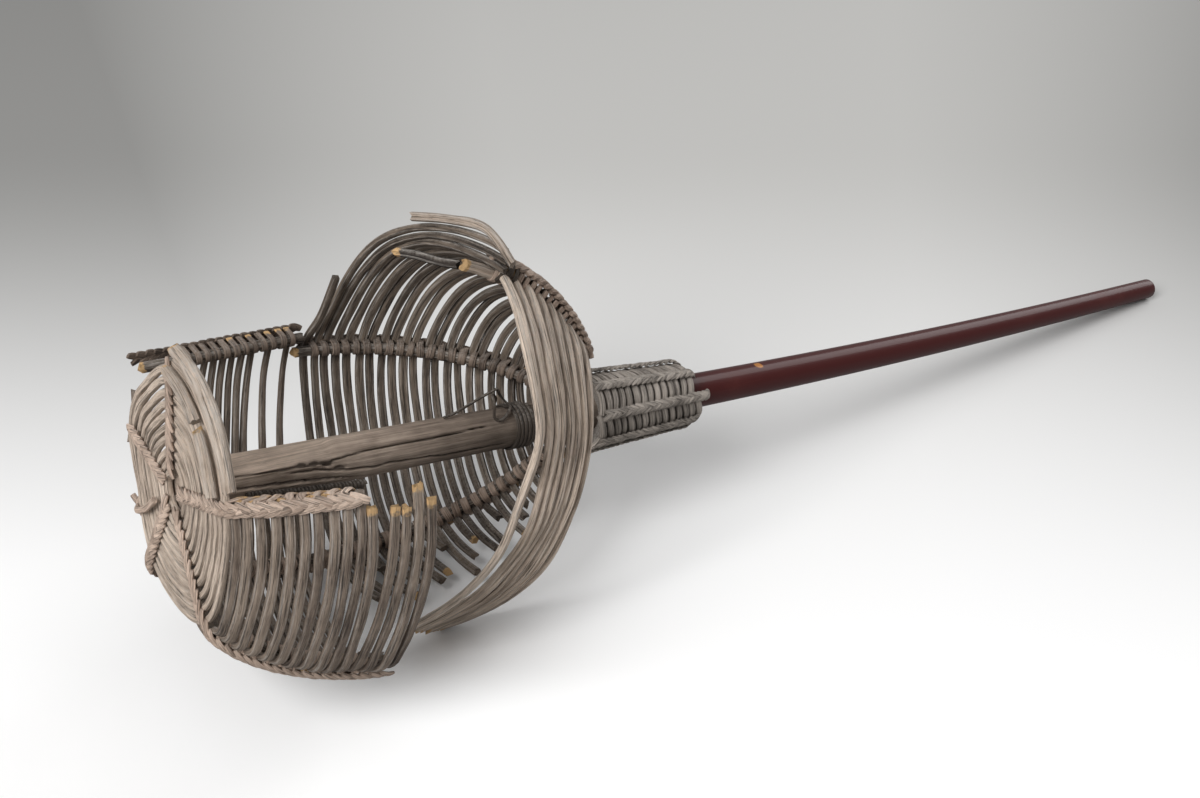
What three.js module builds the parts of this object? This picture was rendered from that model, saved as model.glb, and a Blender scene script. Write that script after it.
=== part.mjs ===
// A basket rattle on a stick: a cage of bent cane rods, bound to ribs by plaited strips, sits round
// the thick end of a tapered, lacquered stick. The cage is old and has broken open on its upper side.
//
// The model is drawn in the stick's own frame: x runs along the stick from the flat end of the cage
// to the tip, z points up and y points to the back. Angles go round the stick, from the top to the back.
// The finished model lies on the ground, on the belly of the cage and on the stick's tip.
import * as THREE from 'three';

// Driving dimensions, in millimetres
const clearance = 0.3; // gap between pieces that rest on each other
const bindingGap = 0.5; // between a rod and the rib or plait that it is bound to

const stickLength = 653; // butt to tip
const buttDiameter = 22;
const tipDiameter = 12.4;
const tipRounding = 2.4;
const stickBow = 12; // how far the tip bends up from the line of the grip

const rodDiameter = 3.9; // bent cane that runs round the cage
const ribDiameter = 5; // cane that runs along the inside of the cage
const plaitDiameter = 3.8; // plaited strip that binds the rods on the outside

const endRadius = 57.5; // flat end of the cage, at its edge
const widestRadius = 95.5; // belly of the cage
const frontDepth = 91; // flat end to belly
const frontFullness = 1.3; // smaller is fuller
const backDepth = 118; // belly to the point where the bowl would close
const collarRadius = 20.5; // plaited collar, where the cage closes on the stick
const collarEndRadius = 17.6;
const collarLength = 61;
const collarRidges = 8;
const collarRidgeHeight = 2;

const coilTurns = 10; // of the rod that makes the flat end
const coilCoreRadius = 8;
const endFlattening = [0.1, 0.1, 0.03, 0.06, -0.03]; // how far the flat end's sides cut inside its corners
const sideFlattening = 0.045;
const topSwelling = 0.06; // how far the bowl's rods stand out between the top rib and the back rib

const cageRodCount = 14;
const cageRodGap = 1.6; // on the front
const bowlRodCount = 25;
const bowlRodGap = 1.75; // at the back rib
const bowlRodCrowding = 0.42; // at the top rib
const stackedRodCount = 3; // rods piled on each other where the top plait has broken
const stackStep = 1.8; // each of them lies this much farther from the collar
const stackSetback = 2.6; // from the broken plait to the pile
const sprungLength = 82; // broken part of the back rib, which has sprung straight
const sprungGap = 2.6; // from it to the rest of the back rib's plait
const sprungStartInset = 5.5; // of its outer end, inside the belly's circle
const sprungEndLift = 0.5; // of its inner end, outside that circle
const sprungRodInset = 20; // from its outer end to the first rod
const sprungRodGap = 0.95;

const borderDiameter = 6.4; // thick rod along the broken edge of the flat end
const knotDiameter = 8;
const backEndPlaitReach = 49;
const cornerCut = 3.6; // how far a plait cuts the corner of the flat end, each way
const lashingDiameter = 1.6; // bast wound on the grip
const lashingGap = 0.6;
const lashingTurns = 5;
const lashingStart = 160;

// Rib angles, in degrees
const topAngle = 5;
const backAngle = 86;
const sprungAngle = 81;
const underAngle = 154;
const lowAngle = 222;
const frontAngle = 293;
const knotAngle = 128;

// What is left of the broken ribs and their plaits, along the cage's outline
const topRibOverhang = 12.7; // of the top rib past its plait
const backRibOverhang = 6; // of the back rib past its plait
const lowRibLength = 83; // from the flat end
const frontRibLength = 52.5;

// Breaks in the rods. Angles are in degrees, and rods are counted from the flat end or from the collar.
const frontOverhang = 2; // of every rod past the front rib
const borderOverhang = 6;
const freeEnds = { 10: -5, 11: -6, 12: -6, 13: -1 }; // rods past the front rib's break end off the others
const rodsLostAtBack = [9, 11, 13]; // rods that have broken off below the back rib
const lostShare = 0.55; // of the way from the back rib to the under rib
const brokenAngles = [182, 172, 178, 187, 168, 180]; // ends of the bowl's rods, repeated along the bowl
const brokenCurl = 0.15; // how far the ends at the belly have curled in, as a share of the radius
const heldAngle = 4; // from the under rib to where the rods start to curl in
const stubAngle = 60; // upper end of the rod that stands free at the bowl's rim

// Loose rods. Depth is a share of the bowl's depth, from the belly on, and reach of the belly's radius.
const looseStart = { angle: -5, depth: 0.483, reach: 0.932 };
const looseEnd = { angle: 26, depth: 0.297, reach: 1.079 };

// Rods that run on past the top rib, slump where the front rib is lost and hang beside the collar
const bundleCount = 8;
const bundleEvery = 2;
const bundleFirst = 5;
const bundleNear = [ // the rod next to the collar
  { angle: 340, depth: 0.831, reach: 0.503 },
  { angle: 318, depth: 0.78, reach: 0.492 },
  { angle: 296, depth: 0.788, reach: 0.419 },
  { angle: 274, depth: 0.788, reach: 0.398 },
  { angle: 248, depth: 0.729, reach: 0.503 },
  { angle: 224, depth: 0.602, reach: 0.723 },
  { angle: 205, depth: 0.441, reach: 0.88 },
  { angle: 196, depth: 0.254, reach: 0.963 },
];
const bundleFar = [ // the rod farthest from it
  { angle: 345, depth: 0.466, reach: 0.785 },
  { angle: 328, depth: 0.415, reach: 0.785 },
  { angle: 300, depth: 0.475, reach: 0.607 },
  { angle: 270, depth: 0.492, reach: 0.492 },
  { angle: 244, depth: 0.398, reach: 0.67 },
  { angle: 225, depth: 0.246, reach: 0.775 },
  { angle: 212, depth: 0.144, reach: 0.827 },
  { angle: 204, depth: 0.059, reach: 0.88 },
];

// Mesh resolution
const stickSides = 20;
const stickRings = 14;
const roundingSteps = 4;
const rodSides = 5;
const sidesPerRidge = 4;
const knotSides = 10;
const degreesPerStep = 13;
const coilStepsPerTurn = 20;
const lashingStepsPerTurn = 14;
const wallStep = 9;

// Sizes that follow from the driving dimensions
const rodRadius = rodDiameter / 2;
const ribLift = -(rodRadius + bindingGap + ribDiameter / 2);
const plaitLift = rodRadius + bindingGap + plaitDiameter / 2;
const endPlane = 0;
const bellyPlane = endPlane + frontDepth;
const buttPlane = endPlane + rodRadius + clearance;
const tipPlane = buttPlane + stickLength;

const radians = THREE.MathUtils.degToRad;
const lerp = THREE.MathUtils.lerp;

function stickRadius(x) {
  return lerp(buttDiameter, tipDiameter, (x - buttPlane) / stickLength) / 2;
}

// The stick is straight in the cage and the collar, and bends up a little from there to its tip
function stickRise(x) {
  const share = Math.max(0, (x - bowPlane) / (tipPlane - bowPlane));
  return stickBow * share ** 2;
}

// A point given by its place along the stick, its distance from the stick's axis and its angle
function polar(x, radius, angle) {
  return new THREE.Vector3(x, radius * Math.sin(radians(angle)), radius * Math.cos(radians(angle)));
}

// The cage's outline, from the edge of the flat end over the belly to the collar
class CageOutline extends THREE.Curve {
  getPoint(t, target = new THREE.Vector2()) {
    const closing = Math.acos(collarRadius / widestRadius);
    const turn = t * (Math.PI / 2 + closing);
    if (turn < Math.PI / 2) {
      const swell = Math.sin(turn) ** frontFullness;
      return target.set(
        bellyPlane - frontDepth * Math.cos(turn),
        endRadius + (widestRadius - endRadius) * swell,
      );
    }
    const past = turn - Math.PI / 2;
    return target.set(bellyPlane + backDepth * Math.sin(past), widestRadius * Math.cos(past));
  }
}

const outline = new CageOutline();
outline.arcLengthDivisions = 600;
const outlineLength = outline.getLength();
const collarPlane = outline.getPoint(1).x + rodRadius + clearance;
const bowPlane = collarPlane + collarLength;

// Place and radius on the outline, lifted off it along its outward normal
function wallAt(distance, lift = 0) {
  const share = distance / outlineLength;
  const point = outline.getPointAt(share);
  const along = outline.getTangentAt(share);
  return { x: point.x - along.y * lift, radius: point.y + along.x * lift };
}

// Distance along the outline at which it passes a plane square to the stick
function distanceAtPlane(x) {
  let low = 0;
  let high = outlineLength;
  for (let i = 0; i < 40; i += 1) {
    const middle = (low + high) / 2;
    if (wallAt(middle).x < x) {
      low = middle;
    } else {
      high = middle;
    }
  }
  return low;
}

function wallStation(angle, distance, lift = 0) {
  return { angle, ...wallAt(distance, lift) };
}

function looseStation({ angle, depth, reach }) {
  return { angle, x: bellyPlane + depth * backDepth, radius: reach * widestRadius };
}

function between(first, second, share) {
  return {
    angle: lerp(first.angle, second.angle, share),
    x: lerp(first.x, second.x, share),
    radius: lerp(first.radius, second.radius, share),
  };
}

// A curve that is sampled exactly at its own points
class StationCurve extends THREE.CatmullRomCurve3 {
  getPointAt(t, target) {
    return this.getPoint(t, target);
  }

  getTangentAt(t, target) {
    return this.getTangent(t, target);
  }
}

function roundShape(radius, sides) {
  const corners = [];
  for (let i = 0; i < sides; i += 1) {
    const angle = (i / sides) * Math.PI * 2;
    corners.push(new THREE.Vector2(radius * Math.cos(angle), radius * Math.sin(angle)));
  }
  return new THREE.Shape(corners);
}

function cane(points, diameter) {
  return new THREE.ExtrudeGeometry(roundShape(diameter / 2, rodSides), {
    steps: points.length - 1,
    bevelEnabled: false,
    extrudePath: new StationCurve(points),
  });
}

// How far the side between two ribs cuts inside their circle, as a factor on the radius
function flattened(share, flattening) {
  return 1 - flattening * Math.sin(Math.PI * share) ** 2;
}

// Points of a rod that is bent over the ribs
function bentPoints(stations, flattening = sideFlattening) {
  const points = [];
  stations.forEach((station, index) => {
    const next = stations[index + 1] ?? station;
    const span = Math.abs(next.angle - station.angle);
    const steps = Math.max(1, Math.round(span / degreesPerStep));
    for (let k = 0; k < steps; k += 1) {
      const { x, radius, angle } = between(station, next, k / steps);
      points.push(polar(x, radius * flattened(k / steps, station.flattening ?? flattening), angle));
    }
  });
  return points;
}

// Points along the cage's outline at one angle
function wallPoints(angle, from, to, lift) {
  const steps = Math.max(2, Math.round((to - from) / wallStep));
  const points = [];
  for (let i = 0; i <= steps; i += 1) {
    const { x, radius } = wallAt(lerp(from, to, i / steps), lift);
    points.push(polar(x, radius, angle));
  }
  return points;
}

// Materials
function material(color, roughness) {
  return new THREE.MeshStandardMaterial({ color, roughness, metalness: 0 });
}

const outerCane = () => material(0x8d8378, 0.85);
const innerCane = () => material(0x6e645a, 0.85);
const plaitedCane = () => material(0x7f7469, 0.9);
const lacquer = () => material(0x4a1512, 0.3);
const bast = () => material(0x3a3029, 0.9);

const rattle = new THREE.Group();

function add(name, geometry, look) {
  const mesh = new THREE.Mesh(geometry, look);
  mesh.name = name;
  rattle.add(mesh);
}

function addRod(name, points) {
  add(name, cane(points, rodDiameter), outerCane());
}

function addInnerRod(name, points) {
  add(name, cane(points, rodDiameter), innerCane());
}

function addRib(name, points) {
  add(name, cane(points, ribDiameter), innerCane());
}

function addPlait(name, points) {
  add(name, cane(points, plaitDiameter), plaitedCane());
}

function numbered(name, index) {
  return `${name}_${String(index + 1).padStart(2, '0')}`;
}

// The least gap between the turns of a wound piece, measured from point to point
function printLeastGap(name, points, diameter, stepsPerTurn) {
  let least = Infinity;
  points.forEach((point, i) => {
    for (let j = i + Math.round(stepsPerTurn / 2); j < points.length; j += 1) {
      least = Math.min(least, point.distanceTo(points[j]) - diameter);
    }
  });
  console.log(`${name}: least gap between turns ${least.toFixed(2)} mm`);
}

// The stick: one tapered piece from the butt inside the cage to the rounded tip
function stickGeometry() {
  const section = [new THREE.Vector2(0, buttPlane), new THREE.Vector2(buttDiameter / 2, buttPlane)];
  for (let i = 0; i < stickRings; i += 1) {
    const x = lerp(bowPlane, tipPlane - tipRounding, i / stickRings);
    section.push(new THREE.Vector2(stickRadius(x), x));
  }
  for (let i = 0; i <= roundingSteps; i += 1) {
    const turn = (i / roundingSteps) * (Math.PI / 2);
    section.push(new THREE.Vector2(
      tipDiameter / 2 - tipRounding * (1 - Math.cos(turn)),
      tipPlane - tipRounding * (1 - Math.sin(turn)),
    ));
  }
  section.push(new THREE.Vector2(0, tipPlane));
  const geometry = new THREE.LatheGeometry(section, stickSides).rotateZ(-Math.PI / 2);
  const position = geometry.attributes.position;
  const tipSlope = 2 * stickBow / (tipPlane - bowPlane);
  for (let i = 0; i < position.count; i += 1) {
    const x = position.getX(i);
    const share = Math.max(0, (x - bowPlane) / (tipPlane - bowPlane));
    const lean = tipSlope * share;
    position.setX(i, x - lean * position.getZ(i));
    position.setZ(i, position.getZ(i) + stickRise(x));
  }
  return geometry;
}

// The flat end: one rod coiled outwards, pulled towards a corner at each rib
const endCorners = [topAngle, backAngle, underAngle, lowAngle, frontAngle, topAngle + 360];

function endFactor(angle) {
  const once = topAngle + ((angle - topAngle) % 360);
  const sector = endCorners.findIndex((corner) => once < corner) - 1;
  const share = (once - endCorners[sector]) / (endCorners[sector + 1] - endCorners[sector]);
  return flattened(share, endFlattening[sector]);
}

// Middle of the coiled rod, after a number of turns
function coilPoint(turned, lift = 0) {
  const angle = topAngle + turned * 360;
  const radius = lerp(coilCoreRadius, endRadius, turned / coilTurns);
  return polar(endPlane, radius * endFactor(angle) + lift, angle);
}

function coilPoints() {
  const points = [];
  for (let i = 0; i <= coilTurns * coilStepsPerTurn; i += 1) {
    points.push(coilPoint(i / coilStepsPerTurn));
  }
  return points;
}

// Middle of a round piece that is seated on the coil's last turn
function coilSeat(angle, diameter) {
  const turned = coilTurns - 1 + (angle - topAngle) / 360;
  return coilPoint(turned, rodRadius + bindingGap + diameter / 2);
}

// The thick rod along the coil's last turn, from the front rib to the top rib
function borderPoints() {
  const from = frontAngle + borderOverhang;
  const to = topAngle + 360;
  const steps = Math.round((to - from) / degreesPerStep);
  const points = [];
  for (let i = 0; i <= steps; i += 1) {
    points.push(coilSeat(lerp(from, to, i / steps), borderDiameter));
  }
  return points;
}

// A plait on the flat end, from the middle outwards
function endPlaitPoints(angle, reach = endRadius) {
  const inner = coilCoreRadius + plaitDiameter / 2;
  const steps = Math.round((reach - inner) / wallStep);
  const points = [];
  for (let i = 0; i <= steps; i += 1) {
    points.push(polar(endPlane - plaitLift, lerp(inner, reach, i / steps), angle));
  }
  return points;
}

// A plait that turns the corner of the flat end and runs on along the side
function cornerPlaitPoints(angle, to) {
  const onEnd = endPlaitPoints(angle, endRadius - cornerCut);
  return [...onEnd, ...wallPoints(angle, cornerCut, to, plaitLift)];
}

// Rods of the bowl lie side by side from the collar on, closer at the top rib than at the back rib
const bowlRodPitch = rodDiameter + bowlRodGap;
const crowdedPitch = rodDiameter + bowlRodCrowding;
const wrappedRodCount = bowlRodCount - 1 - stackedRodCount;
const topPlaitStart = outlineLength - clearance - wrappedRodCount * crowdedPitch;
const backPlaitStart = outlineLength - clearance - rodDiameter - (bowlRodCount - 1) * bowlRodPitch;

// The broken part of the back rib, which has sprung straight
const sprungStart = wallAt(backPlaitStart).x - sprungGap - sprungLength;

function sprungRadius(x) {
  const share = (x - sprungStart) / sprungLength;
  return widestRadius + lerp(-sprungStartInset, sprungEndLift, share);
}

function sprungPoints(lift) {
  const steps = Math.round(sprungLength / wallStep);
  const points = [];
  for (let i = 0; i <= steps; i += 1) {
    const x = sprungStart + sprungLength * (i / steps);
    points.push(polar(x, sprungRadius(x) + lift, sprungAngle));
  }
  return points;
}

// Rods of the front half: from the sprung back rib, under the stick, up to the front rib
const cageRodPitch = rodDiameter + cageRodGap;
const firstRodDistance = rodDiameter + bindingGap;
const sprungRodPitch = rodDiameter + sprungRodGap;

function cageRodStations(index) {
  const front = wallAt(firstRodDistance + index * cageRodPitch);
  const sprungX = sprungStart + sprungRodInset + index * sprungRodPitch;
  const back = { angle: sprungAngle, x: sprungX, radius: sprungRadius(sprungX) };
  const under = wallStation(underAngle, distanceAtPlane((front.x + sprungX) / 2));
  return [
    rodsLostAtBack.includes(index) ? between(back, under, lostShare) : back,
    under,
    { angle: lowAngle, ...front },
    { angle: frontAngle + frontOverhang + (freeEnds[index] ?? 0), ...front },
  ];
}

// Rods of the bowl: from the top rib, round the back, to broken ends underneath
function stackStation(layer) {
  const distance = topPlaitStart - stackSetback - layer * stackStep;
  return wallStation(topAngle, distance, layer * crowdedPitch);
}

function hangingStations(share) {
  return bundleNear.map((near, i) => {
    const station = between(looseStation(near), looseStation(bundleFar[i]), share);
    return { ...station, angle: station.angle - 360 };
  });
}

function bowlRodStations(index) {
  const toTop = rodRadius + clearance + index * crowdedPitch;
  const toBack = rodRadius + clearance + index * bowlRodPitch;
  const layer = index - wrappedRodCount;
  const top = layer < 0 ? wallStation(topAngle, outlineLength - toTop) : stackStation(layer);
  const back = wallStation(backAngle, outlineLength - toBack);
  const under = { ...back, angle: underAngle, flattening: 0 };
  const held = { ...under, angle: underAngle + heldAngle };
  const endAngle = brokenAngles[index % brokenAngles.length];
  const curled = 1 - brokenCurl * (index / bowlRodCount);
  const end = { ...back, angle: endAngle, radius: back.radius * curled };
  if (index === bowlRodCount - 1) {
    return [{ ...back, angle: stubAngle }, back, under, held, end];
  }
  const swollen = { ...top, flattening: -topSwelling * (index / bowlRodCount) };
  const inBundle = (index - bundleFirst) / bundleEvery;
  if (Number.isInteger(inBundle) && inBundle >= 0 && inBundle < bundleCount) {
    const hanging = hangingStations(inBundle / (bundleCount - 1));
    return [...hanging.reverse(), swollen, back, under, held, end];
  }
  return [swollen, back, under, held, end];
}

// The collar: a sleeve of plaited ridges round the stick, with a furrow at the top
function collarGeometry() {
  const far = collarPlane + collarLength;
  const bore = (x) => stickRadius(x) + clearance;
  const section = [
    new THREE.Vector2(bore(collarPlane), collarPlane),
    new THREE.Vector2(collarRadius, collarPlane),
    new THREE.Vector2(collarEndRadius, far),
    new THREE.Vector2(bore(far), far),
    new THREE.Vector2(bore(collarPlane), collarPlane),
  ];
  const geometry = new THREE.LatheGeometry(section, collarRidges * sidesPerRidge).rotateZ(-Math.PI / 2);
  const position = geometry.attributes.position;
  for (let i = 0; i < position.count; i += 1) {
    const y = position.getY(i);
    const z = position.getZ(i);
    const radius = Math.hypot(y, z);
    if (radius > collarEndRadius - clearance) {
      const furrow = (1 + Math.cos(Math.atan2(y, z) * collarRidges)) / 2;
      const scale = (radius - furrow * collarRidgeHeight) / radius;
      position.setXYZ(i, position.getX(i), y * scale, z * scale);
    }
  }
  return geometry;
}

// Bast wound round the grip
function lashingPoints() {
  const pitch = lashingDiameter + lashingGap;
  const polygonSlack = 1 / Math.cos(Math.PI / lashingStepsPerTurn);
  const points = [];
  for (let i = 0; i <= lashingTurns * lashingStepsPerTurn; i += 1) {
    const turn = i / lashingStepsPerTurn;
    const x = lashingStart + turn * pitch;
    const radius = (stickRadius(x) + clearance + lashingDiameter / 2) * polygonSlack;
    points.push(polar(x, radius, turn * 360));
  }
  return points;
}

// The pieces of the stick and the flat end
add('stick', stickGeometry(), lacquer());

const coil = coilPoints();
addRod('end_coil', coil);
printLeastGap('end_coil', coil, rodDiameter, coilStepsPerTurn);

add('border_rod', cane(borderPoints(), borderDiameter), outerCane());

const knotCentre = coilSeat(knotAngle, knotDiameter);
const knotGeometry = new THREE.SphereGeometry(knotDiameter / 2, knotSides, Math.round(knotSides / 2));
add('end_knot', knotGeometry.translate(knotCentre.x, knotCentre.y, knotCentre.z), plaitedCane());

// The ribs, inside the rods
const toCollar = outlineLength - rodDiameter;
const ribBegin = rodDiameter + rodRadius;
addRib('top_rib', wallPoints(topAngle, topPlaitStart - topRibOverhang, toCollar, ribLift - clearance));
addRib('back_rib', wallPoints(backAngle, backPlaitStart - backRibOverhang, toCollar, ribLift));
addRib('back_rib_sprung', sprungPoints(ribLift));
addRib('under_rib', wallPoints(underAngle, ribBegin, toCollar, ribLift));
addRib('low_rib', wallPoints(lowAngle, ribBegin, lowRibLength, ribLift));
addRib('front_rib', wallPoints(frontAngle, ribBegin, frontRibLength, ribLift));

// The plaits, outside the rods
const plaitEnd = outlineLength - plaitDiameter - rodDiameter - collarRidgeHeight;
addPlait('top_plait', wallPoints(topAngle, topPlaitStart, plaitEnd, plaitLift));
addPlait('back_plait', wallPoints(backAngle, backPlaitStart, plaitEnd, plaitLift));
addPlait('back_plait_sprung', sprungPoints(plaitLift));
addPlait('under_plait', cornerPlaitPoints(underAngle, plaitEnd));
addPlait('low_plait', cornerPlaitPoints(lowAngle, lowRibLength));
addPlait('front_plait', cornerPlaitPoints(frontAngle, frontRibLength));
addPlait('top_end_plait', endPlaitPoints(topAngle));
addPlait('back_end_plait', endPlaitPoints(backAngle, backEndPlaitReach));

// The rods
for (let i = 0; i < cageRodCount; i += 1) {
  addRod(numbered('cage_rod', i), bentPoints(cageRodStations(i)));
}
for (let i = 0; i < bowlRodCount; i += 1) {
  addInnerRod(numbered('bowl_rod', i), bentPoints(bowlRodStations(i)));
}
const looseStations = [looseStation(looseStart), stackStation(stackedRodCount), looseStation(looseEnd)];
addRod('loose_rod', bentPoints(looseStations, 0));

// The collar and the lashing
add('collar', collarGeometry(), plaitedCane());

const lashing = lashingPoints();
add('grip_lashing', cane(lashing, lashingDiameter), bast());
printLeastGap('grip_lashing', lashing, lashingDiameter, lashingStepsPerTurn);

// Lay the rattle down: the slope at which the belly and the tip both touch the ground
function lyingSlope() {
  const reach = tipPlane - bellyPlane;
  const tipDrop = tipDiameter / 2 - stickBow;
  const bellyDrop = widestRadius * (1 - sideFlattening) + rodRadius;
  const a = reach ** 2 - backDepth ** 2;
  const b = 2 * reach * tipDrop;
  const c = tipDrop ** 2 - bellyDrop ** 2;
  return Math.atan((-b + Math.sqrt(b ** 2 - 4 * a * c)) / (2 * a));
}

const lying = new THREE.Group();
rattle.rotation.y = lyingSlope();
lying.add(rattle);
lying.updateMatrixWorld(true);
const bounds = new THREE.Box3().setFromObject(lying, true);
rattle.position.set(
  -(bounds.min.x + bounds.max.x) / 2,
  -(bounds.min.y + bounds.max.y) / 2,
  -bounds.min.z,
);

export default lying;
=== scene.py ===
"""Looks of an old basket rattle on a stick.

Every piece is modelled in the stick's own frame, in millimetres: x runs along the stick from the flat end
of the cage to the tip, z points up and y points to the back. Angles go round the stick, from the top to the
back. The finished mesh is then laid on the ground with the rest of the part.
"""

import bisect
import math
import random
from dataclasses import dataclass
from itertools import accumulate

import bmesh
import bpy
from bpy.props import FloatProperty, FloatVectorProperty, IntProperty, PointerProperty
from mathutils import Matrix, Vector, noise


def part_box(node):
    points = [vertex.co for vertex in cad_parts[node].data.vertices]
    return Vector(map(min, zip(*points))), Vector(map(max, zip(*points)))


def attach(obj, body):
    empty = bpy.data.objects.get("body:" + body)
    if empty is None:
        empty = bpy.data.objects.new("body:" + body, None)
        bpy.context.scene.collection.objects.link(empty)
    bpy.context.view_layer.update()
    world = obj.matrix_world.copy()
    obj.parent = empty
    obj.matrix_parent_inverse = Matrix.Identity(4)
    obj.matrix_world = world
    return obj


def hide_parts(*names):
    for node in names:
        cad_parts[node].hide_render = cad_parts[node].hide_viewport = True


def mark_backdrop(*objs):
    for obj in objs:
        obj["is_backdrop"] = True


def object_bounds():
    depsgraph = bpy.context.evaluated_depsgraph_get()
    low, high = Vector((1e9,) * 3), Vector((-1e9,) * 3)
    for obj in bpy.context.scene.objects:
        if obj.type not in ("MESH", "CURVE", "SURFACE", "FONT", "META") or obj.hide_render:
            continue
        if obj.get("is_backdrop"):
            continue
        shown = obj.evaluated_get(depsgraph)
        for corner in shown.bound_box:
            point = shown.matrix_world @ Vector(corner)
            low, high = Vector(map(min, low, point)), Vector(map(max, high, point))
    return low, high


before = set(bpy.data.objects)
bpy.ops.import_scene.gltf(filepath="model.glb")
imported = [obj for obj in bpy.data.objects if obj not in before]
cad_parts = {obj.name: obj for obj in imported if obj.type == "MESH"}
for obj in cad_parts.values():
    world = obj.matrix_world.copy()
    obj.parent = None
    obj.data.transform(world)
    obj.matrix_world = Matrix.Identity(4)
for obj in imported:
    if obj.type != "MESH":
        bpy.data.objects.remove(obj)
bounds_at_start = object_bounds()

bl_info = {
    "name": "Basket rattle",
    "version": (1, 0, 0),
    "blender": (4, 2, 0),
    "location": "3D View > Sidebar > Rattle",
    "description": "Builds the cane, plaits and lacquer of an old basket rattle on a stick",
    "category": "Object",
}

MM = 0.001

# Sizes of the part, in millimetres
CLEARANCE = 0.3
BINDING_GAP = 0.5
STICK_LENGTH = 653
BUTT_DIAMETER = 22
TIP_DIAMETER = 12.4
TIP_ROUNDING = 2.4
STICK_BOW = 12
ROD_DIAMETER = 3.9
RIB_DIAMETER = 5
PLAIT_DIAMETER = 3.8
END_RADIUS = 57.5
WIDEST_RADIUS = 95.5
FRONT_DEPTH = 91
FRONT_FULLNESS = 1.3
BACK_DEPTH = 118
COLLAR_RADIUS = 20.5
COLLAR_END_RADIUS = 17.6
COLLAR_LENGTH = 61
COLLAR_RIDGES = 8
COLLAR_RIDGE_HEIGHT = 2
COIL_TURNS = 10
COIL_CORE_RADIUS = 8
END_FLATTENING = (0.1, 0.1, 0.03, 0.06, -0.03)
SIDE_FLATTENING = 0.045
TOP_SWELLING = 0.06
CAGE_ROD_COUNT = 14
CAGE_ROD_GAP = 1.6
BOWL_ROD_COUNT = 25
BOWL_ROD_GAP = 1.75
BOWL_ROD_CROWDING = 0.42
STACKED_ROD_COUNT = 3
STACK_STEP = 1.8
STACK_SETBACK = 2.6
SPRUNG_LENGTH = 82
SPRUNG_GAP = 2.6
SPRUNG_START_INSET = 5.5
SPRUNG_END_LIFT = 0.5
SPRUNG_ROD_INSET = 20
SPRUNG_ROD_GAP = 0.95
BORDER_DIAMETER = 6.4
KNOT_DIAMETER = 8
BACK_END_PLAIT_REACH = 49
CORNER_CUT = 3.6
LASHING_DIAMETER = 1.6
LASHING_GAP = 0.6
LASHING_TURNS = 5
LASHING_START = 160

# Rib angles of the part, in degrees
TOP_ANGLE = 5
BACK_ANGLE = 86
SPRUNG_ANGLE = 81
UNDER_ANGLE = 154
LOW_ANGLE = 222
FRONT_ANGLE = 293
KNOT_ANGLE = 128

# Breaks of the part
TOP_RIB_OVERHANG = 12.7
BACK_RIB_OVERHANG = 6
LOW_RIB_LENGTH = 83
FRONT_RIB_LENGTH = 52.5
FRONT_OVERHANG = 2
BORDER_OVERHANG = 6
FREE_ENDS = {10: -5, 11: -6, 12: -6, 13: -1}
RODS_LOST_AT_BACK = (9, 11, 13)
LOST_SHARE = 0.55
BROKEN_ANGLES = (182, 172, 178, 187, 168, 180)
BROKEN_CURL = 0.15
HELD_ANGLE = 4
STUB_ANGLE = 60

# Loose rods of the part: angle, share of the bowl's depth and share of the belly's radius
LOOSE_START = (-5, 0.483, 0.932)
LOOSE_END = (26, 0.297, 1.079)
BUNDLE_COUNT = 8
BUNDLE_EVERY = 2
BUNDLE_FIRST = 5
BUNDLE_NEAR = (
    (340, 0.831, 0.503), (318, 0.78, 0.492), (296, 0.788, 0.419), (274, 0.788, 0.398),
    (248, 0.729, 0.503), (224, 0.602, 0.723), (205, 0.441, 0.88), (196, 0.254, 0.963),
)
BUNDLE_FAR = (
    (345, 0.466, 0.785), (328, 0.415, 0.785), (300, 0.475, 0.607), (270, 0.492, 0.492),
    (244, 0.398, 0.67), (225, 0.246, 0.775), (212, 0.144, 0.827), (204, 0.059, 0.88),
)
DEGREES_PER_STEP = 13
WALL_STEP = 3

# Sizes that follow
ROD_RADIUS = ROD_DIAMETER / 2
RIB_LIFT = -(ROD_RADIUS + BINDING_GAP + RIB_DIAMETER / 2)
BELLY_PLANE = FRONT_DEPTH
BUTT_PLANE = ROD_RADIUS + CLEARANCE
TIP_PLANE = BUTT_PLANE + STICK_LENGTH

# How far the low plait pulls the rods in
LOW_PINCH = 1.7

# Cane as it is swept: steps of its path, waves of its straying and its thickness, and where its grain starts
CURVE_STEPS = 8
ROD_STEP = 3.4
STRAY_WAVE = 38
RISE_WAVE = 30
RISE_SHARE = 0.6
WIDTH_WAVE = 16
THICKNESS_WAVE = 11
GRAIN_STARTS = 4000
SHARP_ANGLE = 50

# Where the flat end faces, and the factor by which the ellipse that the front wall faces out of is deeper
OFF_END = Vector((-1, 0, 0))
FRONT_STRETCH = 1.7

# Kinds of rod, and how much their sections differ
FRONT_ROD = 1
BOWL_ROD = 2
LOOSE_ROD = 3
END_ROD = 7
ROD_WIDTHS = (0.9, 1.12)
ROD_THICKNESSES = (0.92, 1.08)

# Strips of a plait, mostly as shares of its pitch or its reach, and the wraps round a rib
STRIP_STEPS = 6
STRIP_REACHES = (0.94, 1.08)
STRIP_WIDTHS = (0.40, 0.47)
STRIP_THICKNESS = 0.34
STRIP_SLANT = (0.95, -0.75)
STRIP_START = -0.25
STRIP_CROWN = 0.4
CROWN_START = 0.25
STRIP_STRAYING = 0.1
WRAP_STEPS = 10
WRAP_TURN = 95
WRAP_EDGE = 1.2
WRAP_NARROWING = 0.9


def lerp(low, high, share):
    return low + (high - low) * share


def clamp(value):
    return min(1.0, max(0.0, value))


def wobble(*place):
    """Smooth noise between -1 and 1."""
    return noise.noise(Vector(place))


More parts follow.
